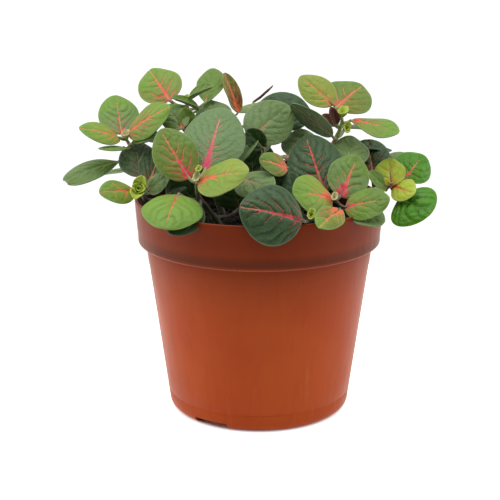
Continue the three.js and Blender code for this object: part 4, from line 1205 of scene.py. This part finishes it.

# %% [markdown]
# ## Pot finish
# The plastic is a warm brick colour with a satin skin, and painted shade makes it darker towards
# the rim. Up close it has a fine grain, faint scuffs that run up and down from stacking and a few
# dark specks. The streaks come from noise that is stretched along the height. Peat stains and
# painted shade darken what lies near the axis inside the rim, and as only the distance is tested,
# they also mark the narrow outside at the band's foot.

# %% Pot finish
# Heights and radii in mm where the painted shade on the upper part and the peat stain with painted shade set
# in.
UPPER_SHADE_HEIGHTS = (50, 98)
STAIN_AND_SHADE_HEIGHTS = (84, 86)
STAIN_AND_SHADE_RADII = (58.4, 59.0)
pot_finish, pot_tree, pot_shader = new_finish("pot_plastic")
pot_place = object_place(pot_tree)
pot_cloud = texture(pot_tree, "ShaderNodeTexNoise", pot_place, 26.0, detail=3.0)
pot_streaks = texture(
    pot_tree, "ShaderNodeTexNoise", object_place(pot_tree, (1, 1, 0.06)), 420.0, detail=4.0)
pot_scuffs = texture(
    pot_tree, "ShaderNodeTexNoise", object_place(pot_tree, (1, 1, 0.12)), 150.0, detail=6.0,
    roughness=0.7)
pot_grain = texture(pot_tree, "ShaderNodeTexNoise", pot_place, 1600.0, detail=2.0)
pot_specks = texture(pot_tree, "ShaderNodeTexVoronoi", pot_place, 160.0)
pot_at_height = height_of(pot_tree, pot_place)
brick_mask = step(pot_tree, pot_cloud.outputs["Fac"], 0.35, 0.65)
brick = tint(pot_tree, brick_mask, colour("a8400a"), "ae470d")
streak_mask = step(pot_tree, pot_streaks.outputs["Fac"], 0.5, 0.75, 0, 0.22)
brick = tint(pot_tree, streak_mask, brick, "93390d")
scuff_mask = step(pot_tree, pot_scuffs.outputs["Fac"], 0.58, 0.72, 0, 0.25)
brick = tint(pot_tree, scuff_mask, brick, "bc6a3c")
speck_mask = step(pot_tree, pot_specks.outputs["Distance"], 0.03, 0.06, 0.35, 0)
brick = tint(pot_tree, speck_mask, brick, "6a2c14")
pot_from_axis = distance_of(pot_tree, object_place(pot_tree, (1, 1, 0)))
# Painted shade: the upper part of the pot darkens towards the rim.
pot_upper_shade = step(pot_tree, pot_at_height, UPPER_SHADE_HEIGHTS[0] * MM, UPPER_SHADE_HEIGHTS[1] * MM, 0, 0.8)
brick = tint(pot_tree, pot_upper_shade, brick, "702604")
# Peat stain and painted shade: the inside wall above the soil goes nearly black, and the band's foot outside
# darkens too.
pot_inner = step(pot_tree, pot_from_axis, STAIN_AND_SHADE_RADII[0] * MM, STAIN_AND_SHADE_RADII[1] * MM, 0.8, 0)
pot_above = step(pot_tree, pot_at_height, STAIN_AND_SHADE_HEIGHTS[0] * MM, STAIN_AND_SHADE_HEIGHTS[1] * MM)
pot_stain_and_shade = calc(pot_tree, "MULTIPLY", pot_inner, pot_above)
brick = tint(pot_tree, pot_stain_and_shade, brick, "2a1a10")
pot_tree.links.new(brick, pot_shader.inputs["Base Color"])
pot_rough = step(pot_tree, pot_scuffs.outputs["Fac"], 0.35, 0.7, 0.40, 0.55)
pot_tree.links.new(pot_rough, pot_shader.inputs["Roughness"])
pot_shader.inputs["Specular IOR Level"].default_value = 0.15
pot_shader.inputs["Sheen Weight"].default_value = 0.7
pot_shader.inputs["Sheen Roughness"].default_value = 0.3
pot_shader.inputs["Sheen Tint"].default_value = (1.0, 0.72, 0.62, 1)
pot_height = calc(
    pot_tree, "ADD", calc(pot_tree, "MULTIPLY", pot_grain.outputs["Fac"], 0.05),
    calc(pot_tree, "MULTIPLY", pot_streaks.outputs["Fac"], 0.03))
add_bump(pot_tree, pot_shader, pot_height)
pot.data.materials.clear()
pot.data.materials.append(pot_finish)
belongs(pot, "pot", "pot")
print("pot finish", len(pot_tree.nodes), "nodes")

# %% [markdown]
# ## The soil
# Peat is nearly black, loose and lumpy. The body is turned like the pot, with many rings on its
# top, and noise lifts those points into lumps. Crumbs lie on it: one small stone-like shape,
# modelled once and copied by the hundred with few faces each.

# %% Soil finish
soil_finish, soil_tree, soil_shader = new_finish("soil_peat")
soil_place = object_place(soil_tree)
soil_clumps = texture(soil_tree, "ShaderNodeTexNoise", soil_place, 220.0, detail=5.0)
soil_fibres = texture(
    soil_tree, "ShaderNodeTexNoise", object_place(soil_tree, (1, 0.2, 1)), 900.0, detail=3.0)
clump_mask = step(soil_tree, soil_clumps.outputs["Fac"], 0.35, 0.65)
peat = tint(soil_tree, clump_mask, colour("150f0b"), "2c2018")
fibre_mask = step(soil_tree, soil_fibres.outputs["Fac"], 0.62, 0.75, 0, 0.5)
peat = tint(soil_tree, fibre_mask, peat, "4a3726")
soil_tree.links.new(peat, soil_shader.inputs["Base Color"])
soil_shader.inputs["Roughness"].default_value = 0.95
add_bump(soil_tree, soil_shader, calc(soil_tree, "MULTIPLY", soil_clumps.outputs["Fac"], 1.2))
print("soil finish", len(soil_tree.nodes), "nodes")

# %% Soil body
SOIL_DOME = 2.5
SOIL_RADIUS = 56


def soil_height(radius):
    """The soil is a low dome."""
    return SOIL_LEVEL + SOIL_DOME * (1 - (radius / SOIL_RADIUS) ** 2)


soil_outline = [(2, 7), (40, 7), (42, 9), (body_radius(40) - POT_WALL - 0.3, 40), (53, 80)]
soil_outline += [(SOIL_RADIUS, 87), (56.8, 89.6), (SOIL_RADIUS, 90.6)]
soil_outline += [(r, soil_height(r)) for r in np.arange(54.5, 1.0, -1.5)]
soil = turned("soil_body", soil_outline, segments=120)
for vertex in soil.data.vertices:
    if vertex.co.z > 90.2 * MM:
        spot = vertex.co / MM
        rise = 1.1 * noise.noise(spot * 0.16) + 0.8 * noise.noise(spot * 0.5)
        rise += 0.5 * noise.noise(spot * 1.1)
        vertex.co.z += rise * MM
select_only(soil)
bpy.ops.object.shade_smooth()
soil.data.materials.append(soil_finish)
belongs(soil, "soil", "soil")
print("soil", len(soil.data.polygons), "faces")

# %% Crumbs of peat
CRUMB_COUNT = 900
crumb_chance = random.Random(11)
bpy.ops.mesh.primitive_ico_sphere_add(subdivisions=1, radius=1)
model_crumb = bpy.context.object
crumb_points = [v.co.copy() for v in model_crumb.data.vertices]
crumb_faces = [tuple(p.vertices) for p in model_crumb.data.polygons]
bpy.data.objects.remove(model_crumb)
points, faces = [], []
for _ in range(CRUMB_COUNT):
    distance = 55 * math.sqrt(crumb_chance.random())
    turn = crumb_chance.uniform(0, 2 * math.pi)
    size = crumb_chance.choice((0.5, 0.7, 0.9, 1.3, 1.9))
    height = soil_height(distance) + 0.4 * size
    centre = Vector((distance * math.cos(turn), distance * math.sin(turn), height))
    squash = Vector([crumb_chance.uniform(0.6, 1.3) for _ in range(3)])
    first = len(points)
    for p in crumb_points:
        rough_size = size * crumb_chance.uniform(0.75, 1.15)
        points.append((centre + Vector([p[i] * squash[i] for i in range(3)]) * rough_size) * MM)
    faces += [tuple(first + i for i in face) for face in crumb_faces]
crumb_mesh = bpy.data.meshes.new("soil_crumbs")
crumb_mesh.from_pydata(points, [], faces)
crumbs = new_piece("soil_crumbs", crumb_mesh)
crumb_mesh.materials.append(soil_finish)
belongs(crumbs, "soil", "soil")
print(CRUMB_COUNT, "crumbs", len(faces), "faces")
